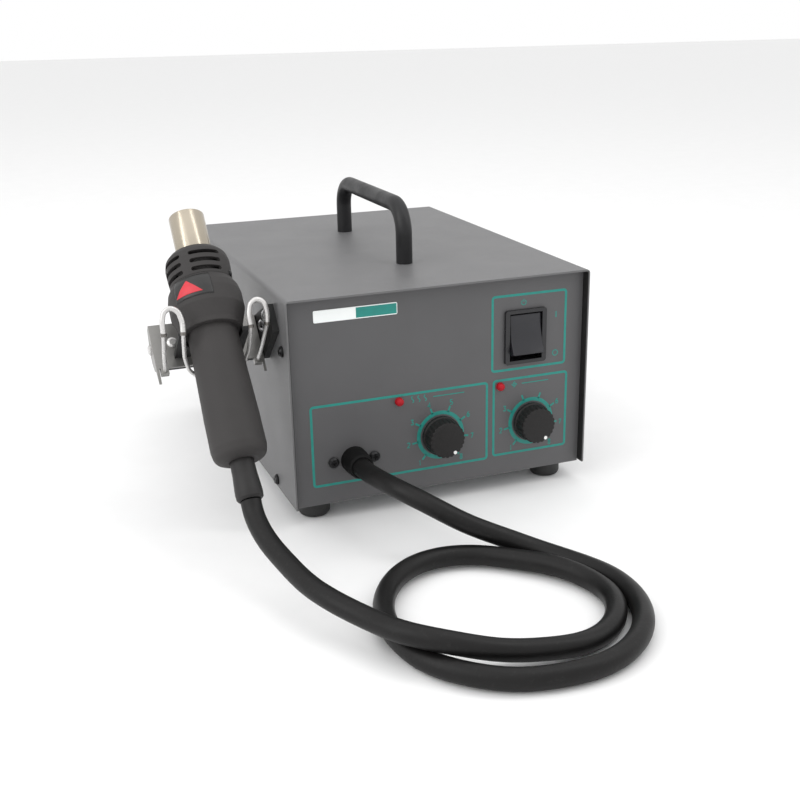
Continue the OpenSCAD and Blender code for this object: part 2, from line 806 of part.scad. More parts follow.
module hose_boot() color([0.06, 0.055, 0.055]) in_gun() {
    bore_r = hose_d / 2 - 0.4;
    tail = -grip_len - boot_len;
    rotate_extrude() polygon([
        [bore_r, -grip_len + 3], [boot_top_r + 1.2, -grip_len + 3],
        [boot_top_r + 1.2, -grip_len + shell], [boot_top_r, -grip_len + shell],
        [boot_top_r, -grip_len - 1], [boot_r, tail + 4.5], [boot_r, tail + 2.2],
        [boot_lip_r, tail + boot_lip], [hose_d / 2 + 0.6, tail], [bore_r, tail]
    ]);
}

// Blank label wrapped over the flare, on the side that faces the user
module gun_patch() color([0.03, 0.03, 0.03]) in_gun() {
    patch_t = 0.25;
    skin = [for (i = [len(flare) - 1:-1:0]) flare[i] + [patch_t, 0]];
    rotate(patch_turn) rotate_extrude(angle = patch_arc) polygon(concat(flare, skin));
}

// Three small screws that hold the nose to the body's inner collar
module gun_screws() color([0.15, 0.15, 0.15]) in_gun() {
    head_r = 1.7;
    head_h = 0.8;
    shank_r = 0.9;
    at_gun_screws() pan_screw(head_r, head_h, shank_r, 3);
}

// ---- Gun holder on the left wall ----

// A fold of sheet metal in the gun's frame: a foot on the cabinet wall and a plate behind the gun
module holder_bracket() color([0.12, 0.12, 0.125]) in_gun() {
    foot_y0 = -10;
    foot_drop = 10;
    plate_x0 = -25.5;
    plate_y = web_y + web_t;
    height = cradle_top - cradle_end;
    difference() {
        union() {
            translate([plate_x0, plate_y, cradle_end])
                cube([wall_x - plate_x0, plate_t, height]);
            translate([wall_x - foot_t, 0, cradle_end]) rotate([90, 0, 90])
                linear_extrude(foot_t) polygon([
                    [foot_y0, 0], [plate_y + plate_t, 0], [plate_y + plate_t, height],
                    [plate_y, height], [foot_y0, height - foot_drop]
                ]);
        }
        for (y = [-3, 9]) translate([wall_x - over - foot_t, y, cradle_end + height / 2])
            rotate([0, 90, 0]) cylinder(r = 1.8, h = foot_t + 2 * over);
    }
}

module holder_screws() color([0.7, 0.7, 0.72]) in_gun() {
    mid = (cradle_top + cradle_end) / 2;
    for (y = [-3, 9]) translate([wall_x - foot_t, y, mid]) rotate([0, -90, 0])
        pan_screw(3.4, 2.2, 1.8, foot_t);
}

// Plated web behind the gun, with a pointed lip at each end, a side flange on the outer
// end only, and two saddles that the wire's ends run through
module holder_cradle() color([0.75, 0.75, 0.74]) in_gun() {
    height = cradle_top - cradle_end;
    lip = 9;
    notch_r = 12;
    difference() {
        union() {
            translate([-cradle_w, web_y, cradle_end]) cube([2 * cradle_w, web_t, height]);
            for (side = [-1, 1])
                translate([side * wire_x - saddle_w / 2, web_y + web_t - saddle_deep, wire_z - saddle_down])
                    cube([saddle_w, saddle_deep, cradle_end - wire_z + saddle_down + eps]);
        }
        translate([0, web_y + over + web_t, cradle_top]) rotate([90, 0, 0])
            cylinder(r = notch_r, h = 2 * over + web_t);
        for (side = [-1, 1]) translate([side * wire_x, web_y + web_t + over, wire_z])
            rotate([90, 0, 0]) cylinder(r = wire_r, h = saddle_deep + 2 * over);
    }
    translate([-flange_out, web_y, cradle_end]) rotate([90, 0, 90]) linear_extrude(web_t)
        polygon([
            [0, 0], [1, -lip], [3.4, 0], [flange_deep * 0.7, 2], [flange_deep, 9],
            [flange_deep, 17], [5, height], [0, height]
        ]);
    translate([cradle_w, web_y, cradle_end]) rotate([90, 0, 90]) linear_extrude(web_t)
        polygon([[0, 0], [0.6, -lip], [web_t, 0], [web_t, height], [0, height]]);
}

// Open fork that the gun's seat face rests on. Its slot opens to the user
module holder_seat() color([0.09, 0.09, 0.09]) in_gun() {
    slot_r = grip_end_r + 0.5;
    arm = 19.5;
    front = -5;
    translate([0, 0, -seat_t - seat_clear]) linear_extrude(seat_t) difference() {
        union() {
            translate([-arm, 0]) square([2 * arm, web_y]);
            translate([-arm, front]) square([2 * arm, -front + eps]);
        }
        circle(slot_r);
        translate([-slot_r, front - over]) square([2 * slot_r, over - front]);
    }
}

// One bent wire: from under the web it runs forward, up over an arch beside the gun,
// back down and under the grip, and the same again on the other side
wire_half = [
    [wire_x, web_y + 3.5, wire_z], [wire_x, web_y - 3.2, wire_z], [27.4, 6, -7.5], [28.3, -11.5, -3.2], [28, -16, 1.5],
    [26.6, -18.6, 6], [23.3, -19.6, 8.3], [20, -18.8, 5.8], [18.7, -16.6, 0.5],
    [18.4, -14, -5.2], [18.2, -8, -8.5], [17.8, 0, -12.5], [15.4, 8.6, -16.4],
    [9.8, 15.2, -18.6], [3.4, 17.6, -19.2]
];

module cradle_wire() color([0.85, 0.84, 0.82]) in_gun() {
    wire_sides = 10;
    other_half = [for (i = [len(wire_half) - 1:-1:0]) [-wire_half[i].x, wire_half[i].y, wire_half[i].z]];
    swept(concat(wire_half, other_half), wire_r, wire_sides);
}

module holder_rivets() color([0.8, 0.8, 0.78]) in_gun() {
    rivet_r = 3;
    rivet_y = web_y + 6.4;
    rivet_z = 7;
    translate([-flange_out, rivet_y, rivet_z]) rotate([0, -90, 0]) {
        cylinder(r = rivet_r, h = rivet_h / 2);
        translate([0, 0, rivet_h / 2]) cylinder(r1 = rivet_r, r2 = rivet_r * 0.6, h = rivet_h / 2);
    }
    for (x = [-19, 19]) translate([x, web_y, rivet_z]) rotate([90, 0, 0]) {
        cylinder(r = rivet_r, h = rivet_h / 2);
        translate([0, 0, rivet_h / 2]) cylinder(r1 = rivet_r, r2 = rivet_r * 0.6, h = rivet_h / 2);
    }
}

// ---- Mains inlet ----

module mains_inlet() color([0.06, 0.06, 0.06]) at_rear(inlet_at) {
    flange_t = 2.5;
    difference() {
        union() {
            linear_extrude(flange_t) round_rect(inlet_flange_w, inlet_h + 4, 3);
            translate([0, 0, -inlet_body_deep]) linear_extrude(inlet_body_deep + eps)
                square([inlet_w, inlet_h], center = true);
        }
        translate([0, socket_up, flange_t - socket_deep]) linear_extrude(socket_deep + over)
            round_rect(socket_w, socket_h, 3);
        translate([0, drawer_down, flange_t - drawer_deep]) linear_extrude(drawer_deep + over)
            square([drawer_w + 2 * gap, drawer_h + 2 * gap], center = true);
        for (x = [-1, 1]) translate([x * inlet_ear / 2, 0, -over])
            cylinder(r = screw_r + 0.1, h = flange_t + 2 * over);
    }
}

module inlet_pins() color([0.8, 0.78, 0.7]) at_rear(inlet_at) {
    blade = [2, 4, 10];
    spread = 7;
    rise = 4;
    base = 2.5 - socket_deep;
    for (p = [[-spread, -2], [spread, -2], [0, -2 + rise]])
        translate([p.x, socket_up + p.y, base + blade.z / 2]) cube(blade, center = true);
}

module fuse_drawer() color([0.08, 0.08, 0.08]) at_rear(inlet_at) {
    face_t = 1;
    notch = [8, 2, 2];
    difference() {
        translate([0, drawer_down, 2.5 - drawer_deep + gap])
            linear_extrude(drawer_deep - gap + face_t)
                square([drawer_w, drawer_h], center = true);
        translate([0, drawer_down + drawer_h / 2, 2.5 + face_t]) cube(notch, center = true);
        translate([0, drawer_down + drawer_h / 2 - 1, -6]) cube([20, drawer_h, 6], center = true);
    }
}

module inlet_screws() color([0.6, 0.6, 0.62]) at_rear(inlet_at) {
    for (x = [-1, 1]) translate([x * inlet_ear / 2, 0, 2.5])
        pan_screw(screw_head_r, screw_head_h, screw_r, 8);
}

// ---- Inside the cabinet ----

pump_at = [-40, 45];
pump_size = [84, 62, 3];
mount_h = 8;
mount_r = 5;
pump_z = tray_top + mount_h;
pump_top = pump_z + pump_size.z;
arm_pivot = [-34, -16];
arm_pin_r = 1.5;

module at_pump() {
    at_cabinet() translate([pump_at.x, pump_at.y, 0]) children();
}

module pump_mounts() color([0.1, 0.1, 0.1]) at_pump() {
    for (x = [-1, 1], y = [-1, 1])
        translate([x * (pump_size.x / 2 - 8), y * (pump_size.y / 2 - 8), tray_top])
            cylinder(r1 = mount_r, r2 = mount_r - 1, h = mount_h);
}

module pump_base() color([0.3, 0.31, 0.32]) at_pump() {
    post = [12, 10, 34];
    window = [-3.8, 9, 16];
    translate([-pump_size.x / 2, -pump_size.y / 2, pump_z]) cube(pump_size);
    difference() {
        translate([arm_pivot.x - post.x / 2, arm_pivot.y - post.y / 2, pump_top - eps]) cube(post);
        translate([arm_pivot.x, arm_pivot.y, pump_top + 6])
            cylinder(r = arm_pin_r + shaft_clear, h = post.z);
        translate([arm_pivot.x + window.x, arm_pivot.y - post.y, pump_top + window.y])
            cube([post.x, 2 * post.y, window.z]);
    }
}

// Stack of E-shaped plates on two feet, with the coil on its middle leg
core = [44, 26, 20];
core_x = -16;
core_z = 5;
core_window = [9, 14];
core_leg_w = 10;

module pump_core() color([0.35, 0.35, 0.36]) at_pump() {
    side_w = (core.x - core_leg_w - 2 * core_window.x) / 2;
    translate([core_x, -2, pump_top]) {
        translate([0, 0, core_z]) difference() {
            cube(core);
            for (x = [side_w, core.x - side_w - core_window.x]) translate([x, -over, -over])
                cube([core_window.x, core_window.y + over, core.z + 2 * over]);
        }
        for (x = [0, core.x - side_w]) translate([x, 0, 0]) cube([side_w, core.y, core_z + eps]);
    }
}

module pump_coil() color([0.55, 0.3, 0.15]) at_pump() {
    coil = [core_leg_w + 14, 10, 27];
    hole = [core_leg_w + 0.4, 30, core.z + 0.4];
    translate([core_x + core.x / 2, 4.6, pump_top + core_z + core.z / 2]) difference() {
        cube(coil, center = true);
        cube(hole, center = true);
    }
}

// Swing arm with its magnet. It shakes a little about the post's pin
module pump_arm() color([0.5, 0.52, 0.55]) at_pump() {
    bar = [66, 3, 12];
    magnet = [16, 5, 12];
    hub_r = 3;
    z0 = pump_top + 11;
    translate([arm_pivot.x, arm_pivot.y, 0]) {
        translate([0, -bar.y / 2, z0]) cube(bar);
        translate([0, 0, z0]) cylinder(r = hub_r, h = bar.z);
        translate([0, 0, pump_top + 6.5]) cylinder(r = arm_pin_r, h = 22);
        translate([32, bar.y / 2 - eps, z0]) cube(magnet);
    }
}

module pump_head() color([0.2, 0.2, 0.21]) at_pump() {
    block = [26, 12, 30];
    nipple_r = 3;
    translate([13, -pump_size.y / 2, pump_top]) {
        cube(block);
        translate([block.x / 2 - 2, eps, 16]) rotate([90, 0, 0]) cylinder(r = nipple_r, h = 12);
    }
}

// Silicone tube from the pump's nipple to the hose in the outlet
tube_route = [
    [-16, 1.6, 39.4], [-17, -10, 39.3], [-23, -30, 38], [-36, -52, 36.8],
    [-48, -72, 36.3], [-54.5, -92, 36.2], [-56, -108, 36.2], [-56, -122.5, 36.2]
];

module air_tube() color([0.85, 0.83, 0.8]) at_cabinet() {
    tube_r = 4;
    tube_sides = 10;
    swept(tube_route, tube_r, tube_sides);
}

board_at = [44, -22];
board_size = [84, 96, 1.6];
board_z = tray_top + 8;

module control_board() color([0.1, 0.35, 0.2]) at_cabinet() {
    post_r = 3;
    inset = 6;
    translate([board_at.x - board_size.x / 2, board_at.y - board_size.y / 2, board_z])
        cube(board_size);
    for (x = [-1, 1], y = [-1, 1])
        translate([board_at.x + x * (board_size.x / 2 - inset), board_at.y + y * (board_size.y / 2 - inset), tray_top])
            cylinder(r = post_r, h = board_z - tray_top + eps);
}

module board_parts() color([0.15, 0.15, 0.3]) at_cabinet() {
    top = board_z + board_size.z;
    relay = [16, 20, 15];
    film = [18, 8, 14];
    translate([board_at.x, board_at.y, top]) {
        for (x = [-30, -16], y = [-34, -12]) translate([x, y, 0]) cylinder(r = 5, h = 18);
        translate([8, -40, 0]) cube(relay);
        for (i = [0:2]) translate([-6, -8 + i * 12, 0]) cube(film);
        translate([-32, 14, 0]) cube([20, 8, 4]);
    }
}

module heat_sink() color([0.6, 0.61, 0.63]) at_cabinet() {
    base = [4, 50, 34];
    fin = [12, 2, 34];
    fins = 7;
    x0 = board_at.x + board_size.x / 2 - 14;
    translate([x0 - fin.x, board_at.y - 6, board_z + board_size.z]) {
        translate([fin.x, 0, 0]) cube(base);
        for (i = [0:fins - 1]) translate([0, i * (base.y - fin.y) / (fins - 1), 0])
            cube([fin.x + eps, fin.y, fin.z]);
    }
}

module transformer() color([0.4, 0.3, 0.2]) at_cabinet() {
    core = [44, 36, 38];
    winding = [30, 50, 26];
    foot = [62, 20, 1.5];
    translate([46, 66, tray_top]) {
        translate([-foot.x / 2, -foot.y / 2, 0]) cube(foot);
        translate([-core.x / 2, -core.y / 2, foot.z - eps]) cube(core);
        translate([-winding.x / 2, -winding.y / 2, foot.z + 6]) cube(winding);
    }
}

cover();
chassis_tray();
front_panel();
rear_panel();
panel_screws();
cover_screws();
feet();
foot_screws();
carry_handle();
handle_screws();
front_badge();
switch_body();
switch_rocker();
switch_terminals();
heat_knob();
heat_knob_dot();
heat_shaft();
heat_pot();
air_knob();
air_knob_dot();
air_shaft();
air_pot();
pot_nuts();
heat_led();
air_led();
outlet_gland();
outlet_clamp();
outlet_screws();
air_hose();
gun_barrel();
mica_sleeve();
heater_core();
air_coupling();
gun_nose();
gun_body();
gun_grip();
hose_boot();
gun_patch();
gun_screws();
holder_bracket();
holder_cradle();
holder_seat();
cradle_wire();
holder_rivets();
holder_screws();
mains_inlet();
inlet_pins();
fuse_drawer();
inlet_screws();
pump_base();
pump_mounts();
pump_core();
pump_coil();
pump_arm();
pump_head();
air_tube();
control_board();
board_parts();
transformer();
heat_sink();
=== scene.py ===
"""Hot air station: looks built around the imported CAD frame."""
import json
import math

import bmesh
import bpy
import numpy as np
from mathutils import Matrix, Vector


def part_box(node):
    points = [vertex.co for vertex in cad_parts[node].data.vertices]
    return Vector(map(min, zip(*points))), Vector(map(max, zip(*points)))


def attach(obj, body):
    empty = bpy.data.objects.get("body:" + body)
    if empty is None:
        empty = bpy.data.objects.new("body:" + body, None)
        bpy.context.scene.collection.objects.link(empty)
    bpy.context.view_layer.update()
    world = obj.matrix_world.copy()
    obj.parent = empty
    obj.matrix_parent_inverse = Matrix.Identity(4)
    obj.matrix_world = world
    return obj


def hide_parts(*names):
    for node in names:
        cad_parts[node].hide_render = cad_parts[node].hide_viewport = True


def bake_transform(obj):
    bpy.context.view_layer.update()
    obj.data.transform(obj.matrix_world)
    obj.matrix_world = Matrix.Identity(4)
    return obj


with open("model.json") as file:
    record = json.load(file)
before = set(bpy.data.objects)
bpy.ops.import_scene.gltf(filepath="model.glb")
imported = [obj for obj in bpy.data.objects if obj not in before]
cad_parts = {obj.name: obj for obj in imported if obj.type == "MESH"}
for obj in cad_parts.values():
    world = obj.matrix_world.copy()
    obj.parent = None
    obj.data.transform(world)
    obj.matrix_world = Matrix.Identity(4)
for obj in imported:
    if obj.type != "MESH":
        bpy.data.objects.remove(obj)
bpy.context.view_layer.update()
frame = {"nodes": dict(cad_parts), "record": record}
NODES = frame["nodes"]
MM = 0.001

# ---- Frames, in millimetres: cabinet (x, y from its centre, z from the floor) and gun ----
COVER_LOW, COVER_HIGH = (Vector(p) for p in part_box("cover"))
CABINET = Vector(((COVER_LOW.x + COVER_HIGH.x) / 2, (COVER_LOW.y + COVER_HIGH.y) / 2, 0))
HALF_W, HALF_D, CABINET_H = 93.5, 122.5, 135.0
PANEL_INSET = 5.5
PANEL_Y = -HALF_D + PANEL_INSET
GUN_ANGLE = math.radians(49)
GUN_TILT = GUN_ANGLE - math.pi / 2
SEAT_OUT, SEAT_BACK, SEAT_DROP = 34.5, 27, 20
GUN_SEAT = Vector((-HALF_W - SEAT_OUT, -HALF_D + SEAT_BACK, CABINET_H - SEAT_DROP))
AT_CABINET = Matrix.Translation(CABINET) @ Matrix.Scale(MM, 4)
AT_GUN = AT_CABINET @ Matrix.Translation(GUN_SEAT) @ Matrix.Rotation(GUN_TILT, 4, "X")
# The panel's frame has x to the right, y up and z out of the panel's face
AT_PANEL = AT_CABINET @ Matrix.Translation((0, PANEL_Y, 0)) @ Matrix.Rotation(math.pi / 2, 4, "X")


# ---- Camera. Its place, turns and lens come from a fit to the cabinet's edges ----
CAMERA_AT = (-250.8, -709.0, 286.3)
CAMERA_AZ, CAMERA_EL, CAMERA_ROLL = -22.47, 20.69, -0.637
LENS, SENSOR, SHIFT = 51.921, 36, 0.042
CLIP_NEAR, CLIP_FAR = 0.02, 30


def add_camera():
    az, el, roll = (math.radians(a) for a in (CAMERA_AZ, CAMERA_EL, CAMERA_ROLL))
    back = Vector((math.sin(az) * math.cos(el), -math.cos(az) * math.cos(el), math.sin(el)))
    right = Vector((0, 0, 1)).cross(back).normalized()
    up = back.cross(right)
    right, up = (right * math.cos(roll) + up * math.sin(roll),
                 up * math.cos(roll) - right * math.sin(roll))
    data = bpy.data.cameras.new("camera")
    data.sensor_width = SENSOR
    data.lens = LENS
    data.shift_x = -SHIFT
    data.shift_y = SHIFT
    data.clip_start, data.clip_end = CLIP_NEAR, CLIP_FAR
    camera = bpy.data.objects.new("camera", data)
    turn = Matrix((right, up, back)).transposed().to_4x4()
    camera.matrix_world = Matrix.Translation(AT_CABINET @ Vector(CAMERA_AT)) @ turn
    bpy.context.scene.collection.objects.link(camera)
    bpy.context.scene.camera = camera


add_camera()


# ---- Materials ----
DUST_COLOR = (0.35, 0.34, 0.33)
# Colour of the painted shade on the cover's inner side
INNER_SHADE_COLOR = (0.012, 0.012, 0.012)
# Depth of the cover's outer skin below its top, where the painted shade on the inner side fades in
INNER_SHADE_FULL, INNER_SHADE_NONE = 1.4, 1.0
BROAD_LOW, BROAD_HIGH = 0.3, 0.7
EDGE_RADIUS, EDGE_SAMPLES = 0.0006, 4
BUMP_DEPTH = 0.0003
COAT_ROUGH = 0.25
LEAST_ROUGH = 0.02


def nodes_of(name):
    mat = bpy.data.materials.new(name)
    mat.use_nodes = True
    tree = mat.node_tree
    return mat, tree, tree.nodes["Principled BSDF"]


def mix_color(tree, factor, low, high):
    mix = tree.nodes.new("ShaderNodeMix")
    mix.data_type = "RGBA"
    tree.links.new(factor, mix.inputs["Factor"])
    for socket, value in (("A", low), ("B", high)):
        target = [s for s in mix.inputs if s.name == socket and s.type == "RGBA"][0]
        if isinstance(value, bpy.types.NodeSocket):
            tree.links.new(value, target)
        else:
            target.default_value = (*value, 1)
    return [s for s in mix.outputs if s.type == "RGBA"][0]


def remap(tree, value, low, high, to_low, to_high):
    node = tree.nodes.new("ShaderNodeMapRange")
    tree.links.new(value, node.inputs["Value"])
    for name, number in (("From Min", low), ("From Max", high), ("To Min", to_low), ("To Max", to_high)):
        node.inputs[name].default_value = number
    return node.outputs["Result"]


def noise(tree, coord, scale, detail=3.0, rough=0.55):
    node = tree.nodes.new("ShaderNodeTexNoise")
    node.inputs["Scale"].default_value = scale
    node.inputs["Detail"].default_value = detail
    node.inputs["Roughness"].default_value = rough
    tree.links.new(coord, node.inputs["Vector"])
    return node.outputs["Fac"]


def placed(tree, coord, scale=(1, 1, 1), turn=(0, 0, 0)):
    node = tree.nodes.new("ShaderNodeMapping")
    node.inputs["Scale"].default_value = scale
    node.inputs["Rotation"].default_value = turn
    tree.links.new(coord, node.inputs["Vector"])
    return node.outputs["Vector"]


def material(name, color, rough, metallic=0.0, vary=0.12, patch=35.0, grain=0.15, grain_scale=1800.0,
             stretch=(1, 1, 1), turn=(0, 0, 0), rough_vary=0.08, coat=0.0, dust=0.0, edge=0.0,
             specular=0.5, painted_shade_within=0.0):
    """A surface whose colour, roughness and relief all vary, in the object's own coordinates."""
    mat, tree, bsdf = nodes_of(name)
    coord = tree.nodes.new("ShaderNodeTexCoord").outputs["Object"]
    broad = noise(tree, coord, patch, 4.0)
    fine = noise(tree, placed(tree, coord, stretch, turn), grain_scale, 2.0)
    low = tuple(c * (1 - vary) for c in color)
    high = tuple(min(1, c * (1 + vary)) for c in color)
    out = mix_color(tree, remap(tree, broad, BROAD_LOW, BROAD_HIGH, 0, 1), low, high)
    if dust:
        specks = remap(tree, noise(tree, coord, patch * 9, 5.0, 0.7), 0.55, 0.8, 0, dust)
        out = mix_color(tree, specks, out, DUST_COLOR)
    if edge:
        bevel = tree.nodes.new("ShaderNodeBevel")
        bevel.inputs["Radius"].default_value = EDGE_RADIUS
        bevel.samples = EDGE_SAMPLES
        dot = tree.nodes.new("ShaderNodeVectorMath")
        dot.operation = "DOT_PRODUCT"
        tree.links.new(bevel.outputs["Normal"], dot.inputs[0])
        tree.links.new(tree.nodes.new("ShaderNodeNewGeometry").outputs["Normal"], dot.inputs[1])
        worn = remap(tree, dot.outputs["Value"], 0.97, 0.8, 0, edge)
        out = mix_color(tree, worn, out, tuple(min(1, c * 2.2 + 0.04) for c in color))
    if painted_shade_within:
        # Painted shade on the sheet's inner side, told apart by its distance from the middle plane
        split = tree.nodes.new("ShaderNodeSeparateXYZ")
        tree.links.new(coord, split.inputs[0])
        away = tree.nodes.new("ShaderNodeMath")
        away.operation = "COMPARE"
        tree.links.new(split.outputs["X"], away.inputs[0])
        away.inputs[1].default_value = CABINET.x
        away.inputs[2].default_value = painted_shade_within * MM
        under = remap(tree, split.outputs["Z"], (CABINET_H - INNER_SHADE_FULL) * MM,
                      (CABINET_H - INNER_SHADE_NONE) * MM, 1, 0)
        inner_shade_mask = tree.nodes.new("ShaderNodeMath")
        inner_shade_mask.operation = "MULTIPLY"
        tree.links.new(away.outputs[0], inner_shade_mask.inputs[0])
        tree.links.new(under, inner_shade_mask.inputs[1])
        out = mix_color(tree, inner_shade_mask.outputs[0], out, INNER_SHADE_COLOR)
    tree.links.new(out, bsdf.inputs["Base Color"])
    rough_low = max(LEAST_ROUGH, rough - rough_vary)
    tree.links.new(remap(tree, broad, BROAD_LOW, BROAD_HIGH, rough_low, rough + rough_vary),
                   bsdf.inputs["Roughness"])
    bsdf.inputs["Metallic"].default_value = metallic
    bsdf.inputs["Coat Weight"].default_value = coat
    bsdf.inputs["Coat Roughness"].default_value = COAT_ROUGH
    bsdf.inputs["Specular IOR Level"].default_value = specular
    bump = tree.nodes.new("ShaderNodeBump")
    bump.inputs["Strength"].default_value = grain
    bump.inputs["Distance"].default_value = BUMP_DEPTH
    tree.links.new(fine, bump.inputs["Height"])
    tree.links.new(bump.outputs["Normal"], bsdf.inputs["Normal"])
    return mat


GUN_TURN = (-GUN_TILT, 0, 0)
MATERIALS = {
    # The cover's paint carries painted shade on its inner side
    "cover_paint": material("cover_paint", (0.125, 0.124, 0.127), 0.46, vary=0.05, grain=0.5,
                            grain_scale=2600, rough_vary=0.04, edge=0.12, painted_shade_within=HALF_W - 0.9),
    "panel_paint": material("panel_paint", (0.088, 0.087, 0.09), 0.42, vary=0.04, grain=0.22,
                            grain_scale=2200, rough_vary=0.03, edge=0.4),
    "tray_steel": material("tray_steel", (0.42, 0.43, 0.44), 0.38, 0.9, vary=0.15, patch=90),
    "black_screw": material("black_screw", (0.018, 0.018, 0.019), 0.35, 0.6, vary=0.3, patch=500),
    "bright_screw": material("bright_screw", (0.6, 0.6, 0.61), 0.28, 1.0, vary=0.1, patch=500),
    "foot_rubber": material("foot_rubber", (0.014, 0.014, 0.014), 0.55, vary=0.25, patch=200, dust=0.12),
    "handle_rubber": material("handle_rubber", (0.006, 0.006, 0.007), 0.42, specular=0.4, vary=0.2, patch=120,
                              grain=0.3, grain_scale=1500, dust=0.03),
    "badge_print": material("badge_print", (0.92, 0.95, 0.94), 0.4, vary=0.03, grain=0.05),
    "switch_plastic": material("switch_plastic", (0.012, 0.012, 0.014), 0.3, vary=0.2, grain=0.2),
    "rocker_plastic": material("rocker_plastic", (0.016, 0.016, 0.02), 0.33, vary=0.2, grain=0.25),
    "terminal_brass": material("terminal_brass", (0.72, 0.6, 0.33), 0.3, 1.0, patch=400),
    "knob_plastic": material("knob_plastic", (0.012, 0.011, 0.011), 0.5, specular=0.3, vary=0.2, patch=300,
                             grain=0.35, grain_scale=1300, dust=0.04),
    "dot_white": material("dot_white", (0.85, 0.85, 0.83), 0.4, vary=0.04, patch=500),
    "shaft_steel": material("shaft_steel", (0.6, 0.6, 0.62), 0.3, 1.0, patch=400),
    "pot_can": material("pot_can", (0.5, 0.48, 0.42), 0.4, 0.9, patch=300),
    "led_red": material("led_red", (0.4, 0.006, 0.014), 0.5, vary=0.1, patch=400, grain=0.05, specular=0.25),
    "gland_rubber": material("gland_rubber", (0.006, 0.006, 0.006), 0.6, vary=0.2, patch=200, grain=0.2,
                             specular=0.12),
    "hose_rubber": material("hose_rubber", (0.007, 0.0066, 0.0066), 0.44, specular=0.24, vary=0.25,
                            patch=45, grain=0.18, grain_scale=900, rough_vary=0.07, dust=0.03),
    "barrel_steel": material("barrel_steel", (0.4, 0.355, 0.285), 0.2, 0.65, vary=0.06, patch=60, grain=0.06,
                             grain_scale=700, stretch=(3, 3, 0.06), turn=GUN_TURN, rough_vary=0.03),
    "mica": material("mica", (0.6, 0.52, 0.36), 0.4, vary=0.2),
    "ceramic": material("ceramic", (0.8, 0.78, 0.72), 0.6, vary=0.06),
    "silicone": material("silicone", (0.55, 0.16, 0.08), 0.5),
    "gun_plastic": material("gun_plastic", (0.036, 0.0335, 0.033), 0.62, vary=0.1, specular=0.3,
                            patch=60, grain=0.35, grain_scale=2400, rough_vary=0.05),
    "boot_rubber": material("boot_rubber", (0.018, 0.017, 0.017), 0.5, specular=0.3, vary=0.15, patch=150,
                            grain=0.25),
    "patch_film": material("patch_film", (0.01, 0.01, 0.01), 0.35, vary=0.1, grain=0.05),
    "bracket_paint": material("bracket_paint", (0.015, 0.015, 0.015), 0.55, specular=0.3, vary=0.12,
                              patch=90, grain=0.4, edge=0.15),
    "cradle_plate": material("cradle_plate", (0.26, 0.255, 0.245), 0.34, 0.7, vary=0.1, patch=120, grain=0.1,
                             grain_scale=500, stretch=(4, 0.2, 0.2)),
    "wire_nickel": material("wire_nickel", (0.62, 0.61, 0.6), 0.28, 0.6, vary=0.03, patch=90, grain=0.015,
                            rough_vary=0.02),
    "inlet_plastic": material("inlet_plastic", (0.012, 0.012, 0.012), 0.36, vary=0.2, grain=0.2),
    "pump_metal": material("pump_metal", (0.2, 0.2, 0.21), 0.5, 0.7),
    "core_steel": material("core_steel", (0.2, 0.19, 0.18), 0.5, 0.8, stretch=(1, 1, 30), grain_scale=300),
    "copper_coil": material("copper_coil", (0.5, 0.2, 0.08), 0.3, 0.9, stretch=(1, 1, 40), grain_scale=200),
    "arm_metal": material("arm_metal", (0.5, 0.51, 0.53), 0.4, 0.9),
    "tube_silicone": material("tube_silicone", (0.7, 0.68, 0.64), 0.35),
    "board_green": material("board_green", (0.02, 0.13, 0.05), 0.35, coat=0.4),
    "parts_blue": material("parts_blue", (0.03, 0.03, 0.09), 0.35),
    "sink_alu": material("sink_alu", (0.6, 0.61, 0.63), 0.35, 1.0),
}
TEAL = material("teal_print", (0.012, 0.235, 0.2), 0.5, vary=0.08, patch=300, grain=0.05)
# Crimp rings at the wire's bends, painted dark as shade
CRIMP_SHADE = material("crimp_painted_shade", (0.16, 0.15, 0.14), 0.35, 0.8, vary=0.1, patch=300)
RED = material("red_print", (0.55, 0.02, 0.035), 0.4, vary=0.1, patch=300, grain=0.05)
FLOOR = material("floor_white", (0.86, 0.86, 0.86), 0.7, vary=0.01, grain=0.02, specular=0.1)

for part in frame["record"]["subparts"]:
    slots = NODES[part["node"]].data.materials
    slots.clear()
    slots.append(MATERIALS[part["material_slot"]])


# ---- Mesh helpers. Points are in millimetres in the frame that `at` names ----
def add_mesh(name, points, faces, at, mats, face_mats=None, smooth=True, body=None, replaces=(), slot=None):
    mesh = bpy.data.meshes.new(name)
    mesh.from_pydata([at @ Vector(p) for p in points], [], faces)
    for m in (mats if isinstance(mats, (list, tuple)) else [mats]):
        mesh.materials.append(m)
    if face_mats is not None:
        mesh.polygons.foreach_set("material_index", face_mats)
    mesh.polygons.foreach_set("use_smooth", [smooth] * len(mesh.polygons))
    mesh.validate()
    obj = bpy.data.objects.new(name, mesh)
    bpy.context.scene.collection.objects.link(obj)
    bm = bmesh.new()
    bm.from_mesh(mesh)
    bmesh.ops.recalc_face_normals(bm, faces=bm.faces)
    bm.to_mesh(mesh)
    bm.free()
    if replaces:
        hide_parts(*replaces)
    if body:
        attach(obj, body)
    return obj


def crease(obj, degrees=35):
    """Keeps edges sharper than an angle crisp under smooth shading."""
    mesh = obj.data
    bm = bmesh.new()
    bm.from_mesh(mesh)
    for e in bm.edges:
        if len(e.link_faces) == 2 and e.calc_face_angle(0) > math.radians(degrees):
            e.smooth = False
    bm.to_mesh(mesh)
    bm.free()
    return obj


def bake_modifiers(obj):
    bpy.context.view_layer.update()
    deps = bpy.context.evaluated_depsgraph_get()
    mesh = bpy.data.meshes.new_from_object(obj.evaluated_get(deps))
    obj.modifiers.clear()
    obj.data = mesh
    return obj


CORNER_R = 0.4


